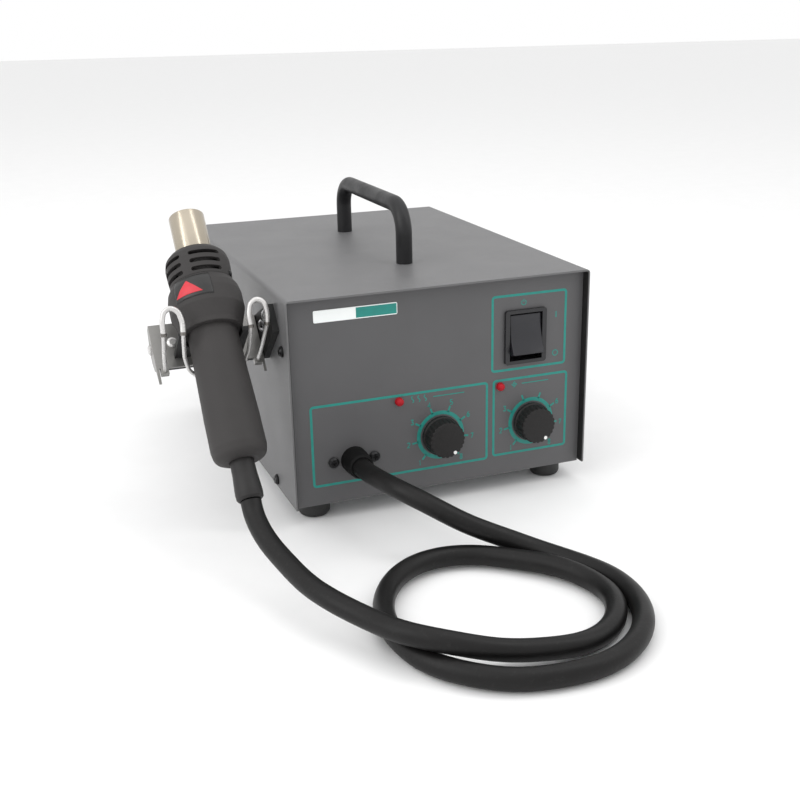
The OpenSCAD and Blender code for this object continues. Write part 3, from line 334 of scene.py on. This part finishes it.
def rounded(profile, radius, steps=5):
    """A closed outline with every corner that carries a radius turned into an arc."""
    out = []
    n = len(profile)
    for i, p in enumerate(profile):
        p = np.array(p[:2], float)
        r = profile[i][2] if len(profile[i]) > 2 else radius
        a = np.array(profile[i - 1][:2], float) - p
        b = np.array(profile[(i + 1) % n][:2], float) - p
        la, lb = np.linalg.norm(a), np.linalg.norm(b)
        if r <= 0 or la < 1e-9 or lb < 1e-9:
            out.append(tuple(p))
            continue
        a, b = a / la, b / lb
        half = math.acos(max(-1, min(1, float(a @ b)))) / 2
        if abs(half - math.pi / 2) < 0.02:
            out.append(tuple(p))
            continue
        cut = min(r / math.tan(half), 0.48 * la, 0.48 * lb)
        for k in range(steps + 1):
            t = k / steps
            q = (1 - t) ** 2 * (p + a * cut) + 2 * t * (1 - t) * p + t ** 2 * (p + b * cut)
            out.append(tuple(q))
    return out


def revolve(profile, sides):
    """Points and faces of a closed (radius, z) outline turned about z."""
    n = len(profile)
    points, faces = [], []
    for k in range(sides):
        a = 2 * math.pi * k / sides
        points += [(r * math.cos(a), r * math.sin(a), z) for r, z in profile]
    for k in range(sides):
        j = (k + 1) % sides
        for i in range(n):
            m = (i + 1) % n
            quad = [k * n + i, j * n + i, j * n + m, k * n + m]
            if profile[i][0] < 1e-6 and profile[m][0] < 1e-6:
                continue
            faces.append(quad)
    return points, faces


def turned(name, profile, at, mat, body, replaces, slot, sides):
    """A turned piece. Without a body it is cut further before it rides."""
    points, faces = revolve(rounded(profile, CORNER_R), sides)
    obj = add_mesh(name, points, faces, at, mat, replaces=replaces, slot=slot)
    bm = bmesh.new()
    bm.from_mesh(obj.data)
    bmesh.ops.remove_doubles(bm, verts=bm.verts, dist=1e-6)
    bmesh.ops.recalc_face_normals(bm, faces=bm.faces)
    bm.to_mesh(obj.data)
    bm.free()
    if body:
        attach(obj, body)
    return crease(obj)


def spline(points, step):
    """A natural cubic curve through points, sampled about every step."""
    p = np.array(points, float)
    t = np.concatenate([[0], np.cumsum(np.linalg.norm(np.diff(p, axis=0), axis=1))])
    n = len(p)
    h = np.diff(t)
    a = np.zeros((n, n))
    b = np.zeros((n, 3))
    a[0, 0] = a[-1, -1] = 1
    for i in range(1, n - 1):
        a[i, i - 1:i + 2] = h[i - 1], 2 * (h[i - 1] + h[i]), h[i]
        b[i] = 6 * ((p[i + 1] - p[i]) / h[i] - (p[i] - p[i - 1]) / h[i - 1])
    m = np.linalg.solve(a, b)
    out = []
    count = max(2, int(round(t[-1] / step)))
    for s in np.linspace(0, t[-1], count + 1):
        i = min(int(np.searchsorted(t, s, side="right")) - 1, n - 2)
        u, v = t[i + 1] - s, s - t[i]
        out.append(m[i] * u ** 3 / (6 * h[i]) + m[i + 1] * v ** 3 / (6 * h[i])
                   + (p[i] / h[i] - m[i] * h[i] / 6) * u + (p[i + 1] / h[i] - m[i + 1] * h[i] / 6) * v)
    return np.array(out)


def tube(path, radius, sides):
    """Points and faces of a round tube with closed ends along path, with no twist."""
    path = np.array(path, float)
    n = len(path)
    tangent = np.gradient(path, axis=0)
    tangent /= np.linalg.norm(tangent, axis=1)[:, None]
    side = np.cross(tangent[0], (0, 0, 1) if abs(tangent[0][2]) < 0.9 else (0, 1, 0))
    points, faces = [], []
    for i in range(n):
        side = side - tangent[i] * (side @ tangent[i])
        side /= np.linalg.norm(side)
        other = np.cross(tangent[i], side)
        for k in range(sides):
            a = 2 * math.pi * k / sides
            points.append(tuple(path[i] + radius * (math.cos(a) * side + math.sin(a) * other)))
    for i in range(n - 1):
        for k in range(sides):
            j = (k + 1) % sides
            faces.append([i * sides + k, i * sides + j, (i + 1) * sides + j, (i + 1) * sides + k])
    faces.append([k for k in range(sides)][::-1])
    faces.append([(n - 1) * sides + k for k in range(sides)])
    return points, faces


def prism(outline, z0, z1):
    """Points and faces of a flat outline raised from z0 to z1."""
    n = len(outline)
    points = [(x, y, z) for z in (z0, z1) for x, y in outline]
    faces = [[i, (i + 1) % n, n + (i + 1) % n, n + i] for i in range(n)]
    faces += [list(range(n))[::-1], [n + i for i in range(n)]]
    return points, faces


def box_outline(w, h, x, y):
    return [(x - w / 2, y - h / 2), (x + w / 2, y - h / 2), (x + w / 2, y + h / 2), (x - w / 2, y + h / 2)]


def joined(parts):
    points, faces = [], []
    for p, f in parts:
        base = len(points)
        points += list(p)
        faces += [[base + i for i in face] for face in f]
    return points, faces


# ---- The air hose: a free cord from the outlet, round a loose loop, to the gun's boot ----
HOSE_D = 11.0
HOSE_ROUTE = [
    (-56, -123, 36.2), (-56, -132.5, 36.2), (-54, -147, 36.4), (-48.5, -166.5, 36), (-37, -183.5, 31.5),
    (-20, -195, 22), (-1, -202, 13), (16, -214, 7), (29, -233.5, 5.6), (36.5, -254.5, 5.6),
    (36, -276.5, 5.6), (27.5, -297.5, 6), (12.5, -314, 6), (-8, -323.5, 5.6), (-30, -324.5, 5.6),
    (-52, -319, 5.6), (-70, -306.5, 6), (-82.5, -287.5, 5.6), (-87, -266, 6), (-85, -243.5, 5.6),
    (-76.5, -223, 6), (-61, -207, 7), (-40, -199.5, 7), (-18, -204, 6.6), (-1, -216.5, 6.6),
    (14.5, -233, 7), (24.5, -253, 6), (24.5, -274.5, 6), (13.5, -293, 5.6), (-6.5, -304.5, 6),
    (-28, -306, 8), (-50, -302, 10.5), (-71, -295.5, 15.5), (-88, -281.5, 17), (-98.5, -261.5, 16),
    (-109, -242, 17.5), (-117, -221.5, 19.5), (-121.5, -202, 22.2), (-125.5, -184.5, 26.5),
    (-127.5, -172, 31.4)
]
HOSE_STEP, HOSE_SIDES, HOSE_CREASE = 2.5, 32, 60
# Where the grip ends and how long the boot is; the hose ends just short of the boot's end
GRIP_END, BOOT_LEN = -76.5, 22
BOOT_END = GRIP_END - BOOT_LEN
MOUTH_GAP, LAST_STRAIGHT = 0.4, 5


def build_hose():
    along = Vector((0, math.cos(GUN_ANGLE), math.sin(GUN_ANGLE)))
    mouth = GUN_SEAT + (BOOT_END - MOUTH_GAP) * along
    path = spline(HOSE_ROUTE + [tuple(mouth - LAST_STRAIGHT * along), tuple(mouth)], HOSE_STEP)
    points, faces = tube(path, HOSE_D / 2, HOSE_SIDES)
    hose = add_mesh("air_hose_rubber", points, faces, AT_CABINET, MATERIALS["hose_rubber"],
                    slot="hose_rubber")
    crease(hose, HOSE_CREASE)
    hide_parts("air_hose")
    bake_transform(hose)


build_hose()


# ---- Hot air gun ----
TIP_Z, NOSE_TOP, NOSE_END = 73.5, 49.0, 29.0
BARREL_R, NOSE_R, WIDE_R = 10.0, 18.0, 20.5
FLARE = [(17.8, 28.0), (19.6, 24.7), (WIDE_R, 20.5)]
SLOT_CENTRES = (-84.5, -159.0, 95.5, 21.0)
SLOT_ARC, SLOT_W = 58.0, 2.4
SLOT_ROWS = (41.7, 36.8, 31.9)
SLOT_INSIDE, SLOT_OUTSIDE = 5, 3
CAP_STEPS, SPAN_STEPS = 8, 12


def slot_cutter():
    """Rounded-end arcs that cut the nose's air slots."""
    parts = []
    for centre in SLOT_CENTRES:
        for z in SLOT_ROWS:
            outline = []
            cap = SLOT_W / 2 / NOSE_R
            span = math.radians(SLOT_ARC / 2) - cap
            for side in (1, -1):
                for k in range(CAP_STEPS + 1):
                    a = math.pi / 2 * side - side * math.pi * k / CAP_STEPS
                    outline.append((side * (span + cap * math.cos(a)), z + SLOT_W / 2 * math.sin(a)))
                for k in range(1, SPAN_STEPS):
                    outline.append((side * span * (1 - 2 * k / SPAN_STEPS), z - side * SLOT_W / 2))
            mid = math.radians(centre)
            n = len(outline)
            points = [(r * math.cos(mid + a), r * math.sin(mid + a), h)
                      for r in (NOSE_R - SLOT_INSIDE, NOSE_R + SLOT_OUTSIDE) for a, h in outline]
            faces = [[i, (i + 1) % n, n + (i + 1) % n, n + i] for i in range(n)]
            faces += [list(range(n))[::-1], [n + i for i in range(n)]]
            parts.append((points, faces))
    points, faces = joined(parts)
    cutter = add_mesh("slot_cutter", points, faces, AT_GUN, [])
    bm = bmesh.new()
    bm.from_mesh(cutter.data)
    caps = [f for f in bm.faces if len(f.verts) > 4]
    bmesh.ops.triangulate(bm, faces=caps)
    bm.to_mesh(cutter.data)
    bm.free()
    return cutter


def build_gun():
    plastic = MATERIALS["gun_plastic"]
    nose = turned("gun_nose_shell", [
        (BARREL_R + 0.15, NOSE_END + 1, 0), (BARREL_R + 1.6, NOSE_END + 1, 0),
        (BARREL_R + 1.6, NOSE_TOP - 2.5, 0), (12.6, NOSE_TOP - 3.0, 1),
        (NOSE_R - 2.2, NOSE_TOP - 8.5, 3), (NOSE_R - 2.3, NOSE_END, 0),
        (NOSE_R - 0.65, NOSE_END, 0.3), (NOSE_R - 0.2, NOSE_END + 6, 3), (NOSE_R, NOSE_TOP - 8, 3),
        (NOSE_R - 0.9, NOSE_TOP - 3.8, 3.5), (NOSE_R - 3.8, NOSE_TOP - 0.6, 3),
        (BARREL_R + 0.15, NOSE_TOP, 0.3)
    ], AT_GUN, plastic, None, ["gun_nose"], "gun_plastic", sides=144)
    cutter = slot_cutter()
    cut = nose.modifiers.new("cut", "BOOLEAN")
    cut.operation, cut.solver, cut.object = "DIFFERENCE", "EXACT", cutter
    bake_modifiers(nose)
    bpy.data.objects.remove(cutter)
    crease(nose, 32)
    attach(nose, "gun")
    turned("gun_body_shell", [
        (13.0, NOSE_END + 1.4, 0), (NOSE_R - 2.5, NOSE_END + 1.4, 0.3), (NOSE_R - 2.5, NOSE_END, 0),
        (NOSE_R - 0.6, NOSE_END - 0.1, 0.25), *[(r, z, 4) for r, z in FLARE], (WIDE_R, 16.0, 0),
        (WIDE_R, 11.4, 3.2), (18.9, 6.8, 3), (17.4, 2.4, 1.5), (17.0, 0, 0.5), (10.5, 0, 0.2), (10.5, 5, 0)
    ], AT_GUN, plastic, "gun", ["gun_body"], "gun_plastic", sides=96)
    turned("gun_grip_sleeve", [
        (11.5, 0.1, 0), (13.8, 0.1, 0.2), (14.2, -24, 20), (14.95, -50, 18), (15.1, -69.0, 5),
        (14.1, -74.4, 4.5), (9.6, GRIP_END, 2.5), (6.6, GRIP_END, 0.5), (6.6, GRIP_END + 3, 0), (11.5, -69, 0)
    ], AT_GUN, plastic, "gun", ["gun_grip"], "gun_plastic", sides=96)
    turned("hose_boot_sleeve", [
        (5.15, GRIP_END + 3, 0), (6.5, GRIP_END + 3, 0), (6.5, GRIP_END - 1, 2), (6.7, GRIP_END - 8, 6),
        (7.25, GRIP_END - 15, 5), (7.4, BOOT_END + 4.2, 3), (7.2, BOOT_END + 1.2, 1.4), (6.1, BOOT_END, 0.7),
        (5.6, BOOT_END, 0.2), (5.15, BOOT_END + 1, 0)
    ], AT_GUN, MATERIALS["boot_rubber"], "gun", ["hose_boot"], "boot_rubber", sides=64)
    turned("barrel_tube", [
        (9.0, 4, 0), (9.6, 4, 0), (9.6, NOSE_TOP - 1, 0.2), (BARREL_R, NOSE_TOP - 0.6, 0.2),
        (BARREL_R, 64, 0), (BARREL_R, TIP_Z, 0.35),
        (9.4, TIP_Z, 0.2), (9.4, 60, 0), (9.4, NOSE_TOP, 0), (9.0, NOSE_TOP - 1, 0)
    ], AT_GUN, MATERIALS["barrel_steel"], "gun", ["gun_barrel"], "barrel_steel", sides=96)


# Height and radius of the wall that the label lies on
FLARE_WALL = [(12.5, WIDE_R), (20.5, WIDE_R), (24.7, 19.55), (28.0, 17.95), (30.5, 17.4)]
FILM_THICK, FILM_LIFT, SIGN_LIFT = 0.00008, 0.12, 0.2
# Where each starts round the gun in degrees, how far it runs, and its lowest edge and height
LABEL_START, LABEL_TURN, LABEL_LOW, LABEL_HIGH = -150, 64, 14.2, 27.8
SIGN_START, SIGN_TURN, SIGN_LOW, SIGN_HIGH, SIGN_RISE, SIGN_APEX = -147, 45, 16.4, 16.6, 8.6, 0.485


def on_flare(phi, z, lift):
    """A point on the gun's wide part, phi degrees round its axis."""
    heights, radii = zip(*FLARE_WALL)
    r = float(np.interp(z, heights, radii)) + lift
    a = math.radians(phi)
    return (r * math.cos(a), r * math.sin(a), z)


def on_gun_film(name, outline, lift, mat, replaces=(), rows=14, columns=26):
    """A thin film on the gun between z limits that outline(u) gives for u from 0 to 1."""
    points, faces = [], []
    for i in range(columns + 1):
        phi, low, high = outline(i / columns)
        for k in range(rows + 1):
            points.append(on_flare(phi, low + (high - low) * k / rows, lift))
    for i in range(columns):
        for k in range(rows):
            a = i * (rows + 1) + k
            faces.append([a, a + rows + 1, a + rows + 2, a + 1])
    film = add_mesh(name, points, faces, AT_GUN, mat, replaces=replaces, slot="patch_film")
    solid = film.modifiers.new("thick", "SOLIDIFY")
    solid.thickness, solid.offset = FILM_THICK, 0
    bake_modifiers(film)
    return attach(film, "gun")


def build_label():
    """A blank dark film with a plain triangle."""
    def film(u):
        return LABEL_START + LABEL_TURN * u, LABEL_LOW, LABEL_HIGH

    def triangle(u):
        rise = u / SIGN_APEX if u < SIGN_APEX else (1 - u) / (1 - SIGN_APEX)
        return SIGN_START + SIGN_TURN * u, SIGN_LOW, SIGN_HIGH + SIGN_RISE * rise

    on_gun_film("gun_label_film", film, FILM_LIFT, MATERIALS["patch_film"], ["gun_patch"])
    on_gun_film("gun_label_triangle", triangle, SIGN_LIFT, RED)


build_gun()
build_label()


# ---- Gun holder ----
WIRE_R, WIRE_SIDES, WIRE_BEND, WIRE_CREASE = 1.15, 16, 2.2, 60
SLEEVE_WALL, CRIMP_WALL = 0.3, 0.55
CRIMP_PLACES = (-0.9, -0.5, 0.5, 0.9)
LEAST_STEP = 0.3
WIRE_HALF = [
    (26.4, 24.7, -10.2), (26.4, 18.0, -10.2), (27.4, 6, -7.5), (28.3, -11.5, -3.2), (28.5, -16, 1.5),
    (27.4, -18.6, 6.4), (23.5, -19.6, 8.3), (19.4, -18.8, 6.0), (18.0, -16.6, 0.5), (18.4, -14, -5.2),
    (18.2, -8, -8.5), (17.8, 0, -12.5), (15.4, 8.6, -16.4), (9.8, 15.2, -18.6), (3.4, 17.6, -19.2)
]


def build_wire():
    """The bent wire, with a thicker sleeve over each arch that ends in two crimps, whose dark colour is
    painted shade at the bends.
    """
    full = WIRE_HALF + [(-x, y, z) for x, y, z in WIRE_HALF[::-1]]
    parts = [tube(smooth_corners(full, WIRE_BEND), WIRE_R, WIRE_SIDES)]
    crimps = []
    for side in (1, -1):
        arch = [(side * x, y, z) for x, y, z in WIRE_HALF[3:10]]
        path = smooth_corners(arch, WIRE_BEND)
        parts.append(tube(path, WIRE_R + SLEEVE_WALL, WIRE_SIDES))
        for a, b in ((path[0], path[1]), (path[-1], path[-2])):
            step = (b - a) / np.linalg.norm(b - a)
            ring = [a + k * step for k in CRIMP_PLACES]
            crimps.append(tube(ring, WIRE_R + CRIMP_WALL, WIRE_SIDES))
    sleeves = len(joined(parts)[1])
    points, faces = joined(parts + crimps)
    kinds = [0 if i < sleeves else 1 for i in range(len(faces))]
    crease(add_mesh("cradle_wire_bright", points, faces, AT_GUN, [MATERIALS["wire_nickel"], CRIMP_SHADE], kinds,
                    body="station", replaces=["cradle_wire"], slot="wire_nickel"), WIRE_CREASE)


def smooth_corners(points, reach, steps=6):
    """The same route with every corner turned into a short arc."""
    p = [np.array(q, float) for q in points]
    out = [p[0]]
    for a, b, c in zip(p, p[1:], p[2:]):
        la, lc = np.linalg.norm(a - b), np.linalg.norm(c - b)
        cut = min(reach, 0.49 * la, 0.49 * lc)
        s, e = b + (a - b) / la * cut, b + (c - b) / lc * cut
        for k in range(steps + 1):
            t = k / steps
            out.append((1 - t) ** 2 * s + 2 * t * (1 - t) * b + t ** 2 * e)
    out.append(p[-1])
    kept = [out[0]]
    for q in out[1:-1]:
        if np.linalg.norm(q - kept[-1]) > LEAST_STEP:
            kept.append(q)
    return kept + [out[-1]]


build_wire()


# ---- Knobs and rocker switch ----
KNOB_GAP, KNOB_LEN, KNOB_R, FLUTES, FLUTE_STEPS = 0.9, 10.6, 12.0, 24, 12
KNOB_BORE, SKIRT_H, FLUTE_DEPTH = 3.4, 1.7, 0.55
# Flutes start above the skirt and fade out towards the middle of the face
FLUTE_START, FLUTE_FADE, FACE_RING, FACE_FADE = 2.4, 1.0, 3, 1.8
# The face lies this much below the CAD's, so that the white dot shows
DOT_SHOWS = 0.08


def build_knob(name, node, at, body):
    """Knob with a plain skirt, softly fluted sides and a flat face with a rounded rim."""
    place = AT_PANEL @ Matrix.Translation((at[0], at[1], 0))
    face = KNOB_GAP + KNOB_LEN - DOT_SHOWS
    profile = rounded([
        (KNOB_BORE, KNOB_GAP + 1, 0), (KNOB_BORE, KNOB_GAP, 0), (KNOB_R, KNOB_GAP, 0.3),
        (KNOB_R, KNOB_GAP + SKIRT_H, 0.5),
        (KNOB_R - 0.75, KNOB_GAP + 2.3, 0.4), (KNOB_R - 0.9, face, 1.1), (0.01, face, 0)
    ], CORNER_R)
    points, faces = revolve(profile, FLUTES * FLUTE_STEPS)
    fluted = []
    for x, y, z in points:
        r = math.hypot(x, y)
        above = min(1.0, max(0.0, (z - KNOB_GAP - FLUTE_START) / FLUTE_FADE))
        depth = above * min(1.0, max(0.0, (r - KNOB_R + FACE_RING) / FACE_FADE))
        wave = 0.5 - 0.5 * math.cos(math.atan2(y, x) * FLUTES)
        shrink = 1 - FLUTE_DEPTH * depth * wave ** 2 / max(r, 1)
        fluted.append((x * shrink, y * shrink, z))
    crease(add_mesh(name, fluted, faces, place, MATERIALS["knob_plastic"], body=body, replaces=[node],
                    slot="knob_plastic"), 40)


ROCKER_W, ROCKER_HALF, ROCKER_REACH, ROCKER_TILT, PIVOT_DEEP = 20.4, 12.0, 8.0, 14.0, 4.0
ROCKER_HOLLOW, ROCKER_STEPS, ROCKER_SKIRT, ROCKER_EDGE = 1.7, 24, 3.0, 0.0007


def build_rocker():
    """Rocker with a hollow face, its upper end pressed in."""
    side = []
    for k in range(ROCKER_STEPS + 1):
        u = -1 + 2 * k / ROCKER_STEPS
        side.append((ROCKER_REACH - ROCKER_HOLLOW * (1 - u * u), ROCKER_HALF * u))
    outline = [(ROCKER_SKIRT, -ROCKER_HALF)] + side + [(ROCKER_SKIRT, ROCKER_HALF), (-1, 4.5), (-1, -4.5)]
    flat = prism([(y, z) for z, y in outline][::-1], -ROCKER_W / 2, ROCKER_W / 2)
    # prism() runs along z, so turn its run into the panel's x
    points = [(z, x, y) for x, y, z in flat[0]]
    tilt = math.radians(-ROCKER_TILT)
    place = (AT_PANEL @ Matrix.Translation((SWITCH_AT[0], SWITCH_AT[1], -PIVOT_DEEP))
             @ Matrix.Rotation(tilt, 4, "X"))
    rocker = add_mesh("rocker_cap", points, flat[1], place, MATERIALS["rocker_plastic"],
                      replaces=["switch_rocker"], slot="rocker_plastic")
    bevel = rocker.modifiers.new("edge", "BEVEL")
    bevel.width, bevel.segments, bevel.limit_method = ROCKER_EDGE, 4, "ANGLE"
    bevel.angle_limit = math.radians(40)
    bake_modifiers(rocker)
    crease(rocker, 50)
    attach(rocker, "power_rocker")


# ---- Printing on the front panel: frames, dials and plain signs, in the panel's frame ----
LINE_W, PRINT_LIFT = 1.5, 0.06
FRAMES = [(32.2, 77.6, 80.6, 122.9), (33.3, 23.9, 82.4, 71.5), (-80.7, 22.9, 28.8, 71.2)]
HEAT_AT, AIR_AT = (-1.5, 43.0), (58.5, 43.0)
SWITCH_AT = (53.5, 97.5)
RING_R, RING_W, TICK_FROM, TICK_TO, TICK_W = 14.0, 2.3, 14.6, 18.4, 1.2
MARKS, DIAL_SPAN, DIGIT_W = 8, 280, 0.62
HEAT_DIGITS, HEAT_DIGIT_R = range(MARKS), 20.8
# The air dial's two upper marks have no digit
AIR_DIGITS, AIR_DIGIT_R = (0, 1, 2, 5, 6, 7), 20.6
DIGITS = {
    "1": [[(0.3, 0.8), (0.5, 1), (0.5, 0)]],
    "2": [[(0.1, 0.8), (0.3, 1), (0.7, 1), (0.9, 0.8), (0.9, 0.6), (0.1, 0), (0.9, 0)]],
    "3": [[(0.1, 1), (0.9, 1), (0.5, 0.58), (0.9, 0.4), (0.9, 0.15), (0.7, 0), (0.3, 0), (0.1, 0.15)]],
    "4": [[(0.7, 0), (0.7, 1), (0.1, 0.3), (0.95, 0.3)]],
    "5": [[(0.85, 1), (0.2, 1), (0.15, 0.55), (0.6, 0.6), (0.9, 0.4), (0.9, 0.2), (0.65, 0), (0.1, 0.05)]],
    "6": [[(0.8, 1), (0.4, 0.9), (0.12, 0.5), (0.12, 0.2), (0.35, 0), (0.65, 0), (0.9, 0.2), (0.9, 0.4),
           (0.65, 0.58), (0.15, 0.4)]],
    "7": [[(0.1, 1), (0.9, 1), (0.4, 0)]],
    "8": [[(0.5, 0.55), (0.15, 0.75), (0.3, 1), (0.7, 1), (0.85, 0.75), (0.5, 0.55), (0.1, 0.28), (0.3, 0),
           (0.7, 0), (0.9, 0.28), (0.5, 0.55)]],
}


def stroke(points, width, closed=False):
    """Flat ribbon along a polyline."""
    p = [np.array(q, float) for q in points]
    n = len(p)
    left, right = [], []
    for i in range(n):
        a = p[i - 1] if (i > 0 or closed) else p[i] - (p[i + 1] - p[i])
        b = p[(i + 1) % n] if (i < n - 1 or closed) else p[i] + (p[i] - p[i - 1])
        d1 = (p[i] - a) / max(1e-9, np.linalg.norm(p[i] - a))
        d2 = (b - p[i]) / max(1e-9, np.linalg.norm(b - p[i]))
        d = d1 + d2
        d = d / max(1e-9, np.linalg.norm(d))
        normal = np.array([-d[1], d[0]])
        miter = min(1.6, 1 / max(0.4, float(normal @ np.array([-d1[1], d1[0]]))))
        left.append(p[i] + normal * width / 2 * miter)
        right.append(p[i] - normal * width / 2 * miter)
    points = [(x, y, PRINT_LIFT) for x, y in left] + [(x, y, PRINT_LIFT) for x, y in right]
    last = n if closed else n - 1
    faces = [[i, (i + 1) % n, n + (i + 1) % n, n + i] for i in range(last)]
    return points, faces


def arc(cx, cy, r, a0, a1, steps=24):
    """Points of an arc, with angles in degrees clockwise from straight up."""
    return [(cx + r * math.sin(math.radians(a0 + (a1 - a0) * k / steps)),
             cy + r * math.cos(math.radians(a0 + (a1 - a0) * k / steps))) for k in range(steps + 1)]


def frame_line(x0, y0, x1, y1, r=1.6):
    pts = []
    corners = ((x1 - r, y1 - r, 0), (x1 - r, y0 + r, 90), (x0 + r, y0 + r, 180), (x0 + r, y1 - r, 270))
    for cx, cy, a in corners:
        pts += arc(cx, cy, r, a, a + 90, 5)
    return stroke(pts, LINE_W, closed=True)


def digit(char, cx, cy, h=3.0, w=1.9):
    return [stroke([(cx + (x - 0.5) * w, cy + (y - 0.5) * h) for x, y in s], DIGIT_W) for s in DIGITS[char]]


def dial(at, digits, digit_r):
    """A ring with a tick at every mark, and a digit beside the marks that carry one."""
    def spot(i, r):
        a = math.radians(-DIAL_SPAN / 2 + DIAL_SPAN * i / (MARKS - 1))
        return at[0] + r * math.sin(a), at[1] + r * math.cos(a)

    parts = [stroke(arc(*at, RING_R, -180, 180, 72)[:-1], RING_W, closed=True)]
    for i in range(MARKS):
        parts.append(stroke([spot(i, TICK_FROM), spot(i, TICK_TO)], TICK_W))
        if i in digits:
            parts += digit(str(i + 1), *spot(i, digit_r))
    return parts


POWER_AT, POWER_R, POWER_W = (52.5, 118.0), 1.5, 0.55
SIDE_X, BAR_TOP, BAR_LOW, BAR_W = 74.2, 110.2, 106.6, 0.7
OFF_Y, OFF_R, OFF_W = 84.5, 1.7, 0.6
WAVE_X, WAVE_Y, WAVE_H, WAVE_APART, WAVE_SWING = -19.0, 65.6, 4.0, 4, 0.7
RULE_W, HEAT_RULE, AIR_RULE = 0.6, [(-6, 67.6), (14, 67.6)], [(52, 67.9), (70, 67.9)]
FAN_AT, FAN_R, FAN_W = (47.0, 67.9), 1.1, 0.55


def signs():
    """A ring with a bar for power, I and O beside the rocker, waves for heat, a fan for air."""
    px, py = POWER_AT
    parts = [stroke(arc(px, py, POWER_R, 35, 325, 20), POWER_W)]
    parts.append(stroke([(px, py + 2.1), (px, py + 0.3)], POWER_W))
    parts.append(stroke([(SIDE_X, BAR_TOP), (SIDE_X, BAR_LOW)], BAR_W))
    parts.append(stroke(arc(SIDE_X, OFF_Y, OFF_R, 0, 360, 20), OFF_W))
    for i in range(3):
        x0 = WAVE_X + WAVE_APART * i
        wave = [(x0 + WAVE_SWING * math.sin(k * math.pi / 4), WAVE_Y + WAVE_H * k / 8) for k in range(9)]
        parts.append(stroke(wave, RULE_W))
    parts.append(stroke(HEAT_RULE, RULE_W))
    fx, fy = FAN_AT
    for k in range(4):
        blade = []
        for i, (x, y) in enumerate(arc(fx, fy, FAN_R, 90 * k, 90 * k + 110, 6)):
            reach = 0.3 + 1.3 * i / 6
            blade.append((fx + (x - fx) * reach, fy + (y - fy) * reach))
        parts.append(stroke(blade, FAN_W))
    parts.append(stroke(AIR_RULE, RULE_W))
    return parts


BADGE_Y, BADGE_H, BADGE_LOW, BADGE_HIGH = 123.35, 5.9, 0.38, 0.46
# Middle and width of each half
WHITE_X, WHITE_W, TEAL_X, TEAL_W = -64.1, 24.0, -39.9, 24.2


def badge_half(name, width, x, mat):
    outline = box_outline(width, BADGE_H, x, BADGE_Y)
    add_mesh(name, *prism(outline, BADGE_LOW, BADGE_HIGH), AT_PANEL, mat, smooth=False,
             body="station", slot="badge_print")


def build_print():
    parts = [frame_line(*f) for f in FRAMES]
    parts += dial(HEAT_AT, HEAT_DIGITS, HEAT_DIGIT_R)
    parts += dial(AIR_AT, AIR_DIGITS, AIR_DIGIT_R)
    points, faces = joined(parts + signs())
    add_mesh("panel_print", points, faces, AT_PANEL, TEAL, smooth=False, body="station", slot="badge_print")
    # Two-tone badge without a mark
    badge_half("badge_teal_half", TEAL_W, TEAL_X, TEAL)
    badge_half("badge_white_half", WHITE_W, WHITE_X, MATERIALS["badge_print"])


build_print()
build_knob("heat_knob_cap", "heat_knob", HEAT_AT, "heat_control")
build_knob("air_knob_cap", "air_knob", AIR_AT, "air_control")
build_rocker()


# ---- Floor, lights and world ----
FLOOR_HALF, FLOOR_Z = 6000, -0.05
WORLD_STRENGTH = 1.0


def add_floor():
    points = [(x * FLOOR_HALF, y * FLOOR_HALF, FLOOR_Z) for x, y in ((-1, -1), (1, -1), (1, 1), (-1, 1))]
    add_mesh("floor", points, [[0, 1, 2, 3]], AT_CABINET, FLOOR, smooth=False)


def add_light(name, at, aim, size, watts):
    """An area light, with its place, its aim and its size in metres."""
    data = bpy.data.lights.new(name, "AREA")
    data.shape = "RECTANGLE"
    data.size, data.size_y = size
    data.energy = watts
    light = bpy.data.objects.new(name, data)
    direction = Vector(aim) - Vector(at)
    light.location = at
    light.rotation_euler = direction.to_track_quat("-Z", "Y").to_euler()
    light.visible_camera = False
    bpy.context.scene.collection.objects.link(light)


def add_world():
    world = bpy.data.worlds.new("studio")
    world.use_nodes = True
    world.node_tree.nodes["Background"].inputs["Color"].default_value = (1, 1, 1, 1)
    world.node_tree.nodes["Background"].inputs["Strength"].default_value = WORLD_STRENGTH
    bpy.context.scene.world = world


BARREL_AT = AT_GUN @ Vector((0, 0, 60))
STREAK_ALONG, STREAK_FAR, STREAK_SIZE, STREAK_WATTS = 0.3, 0.9, (0.1, 0.9), 1.3


def add_streak(name, phi):
    """A narrow light phi degrees round the gun's axis, for one bright line on the barrel."""
    a = math.radians(phi)
    across = math.sqrt(1 - STREAK_ALONG * STREAK_ALONG)
    way = Vector((across * math.cos(a), across * math.sin(a), STREAK_ALONG))
    spin = Matrix.Rotation(GUN_TILT, 3, "X")
    add_light(name, BARREL_AT + spin @ way * STREAK_FAR, BARREL_AT, STREAK_SIZE, STREAK_WATTS)


add_floor()
add_world()
add_light("overhead", (-0.1, 0.0, 1.7), (0, 0, 0), (2.2, 2.2), 8.0)
add_light("key_left", (-0.85, -0.45, 0.7), (0, -0.05, 0.07), (0.9, 0.9), 2.5)
add_streak("streak_left", -158)
add_streak("streak_right", -48)
bpy.context.scene.view_settings.view_transform = "Standard"
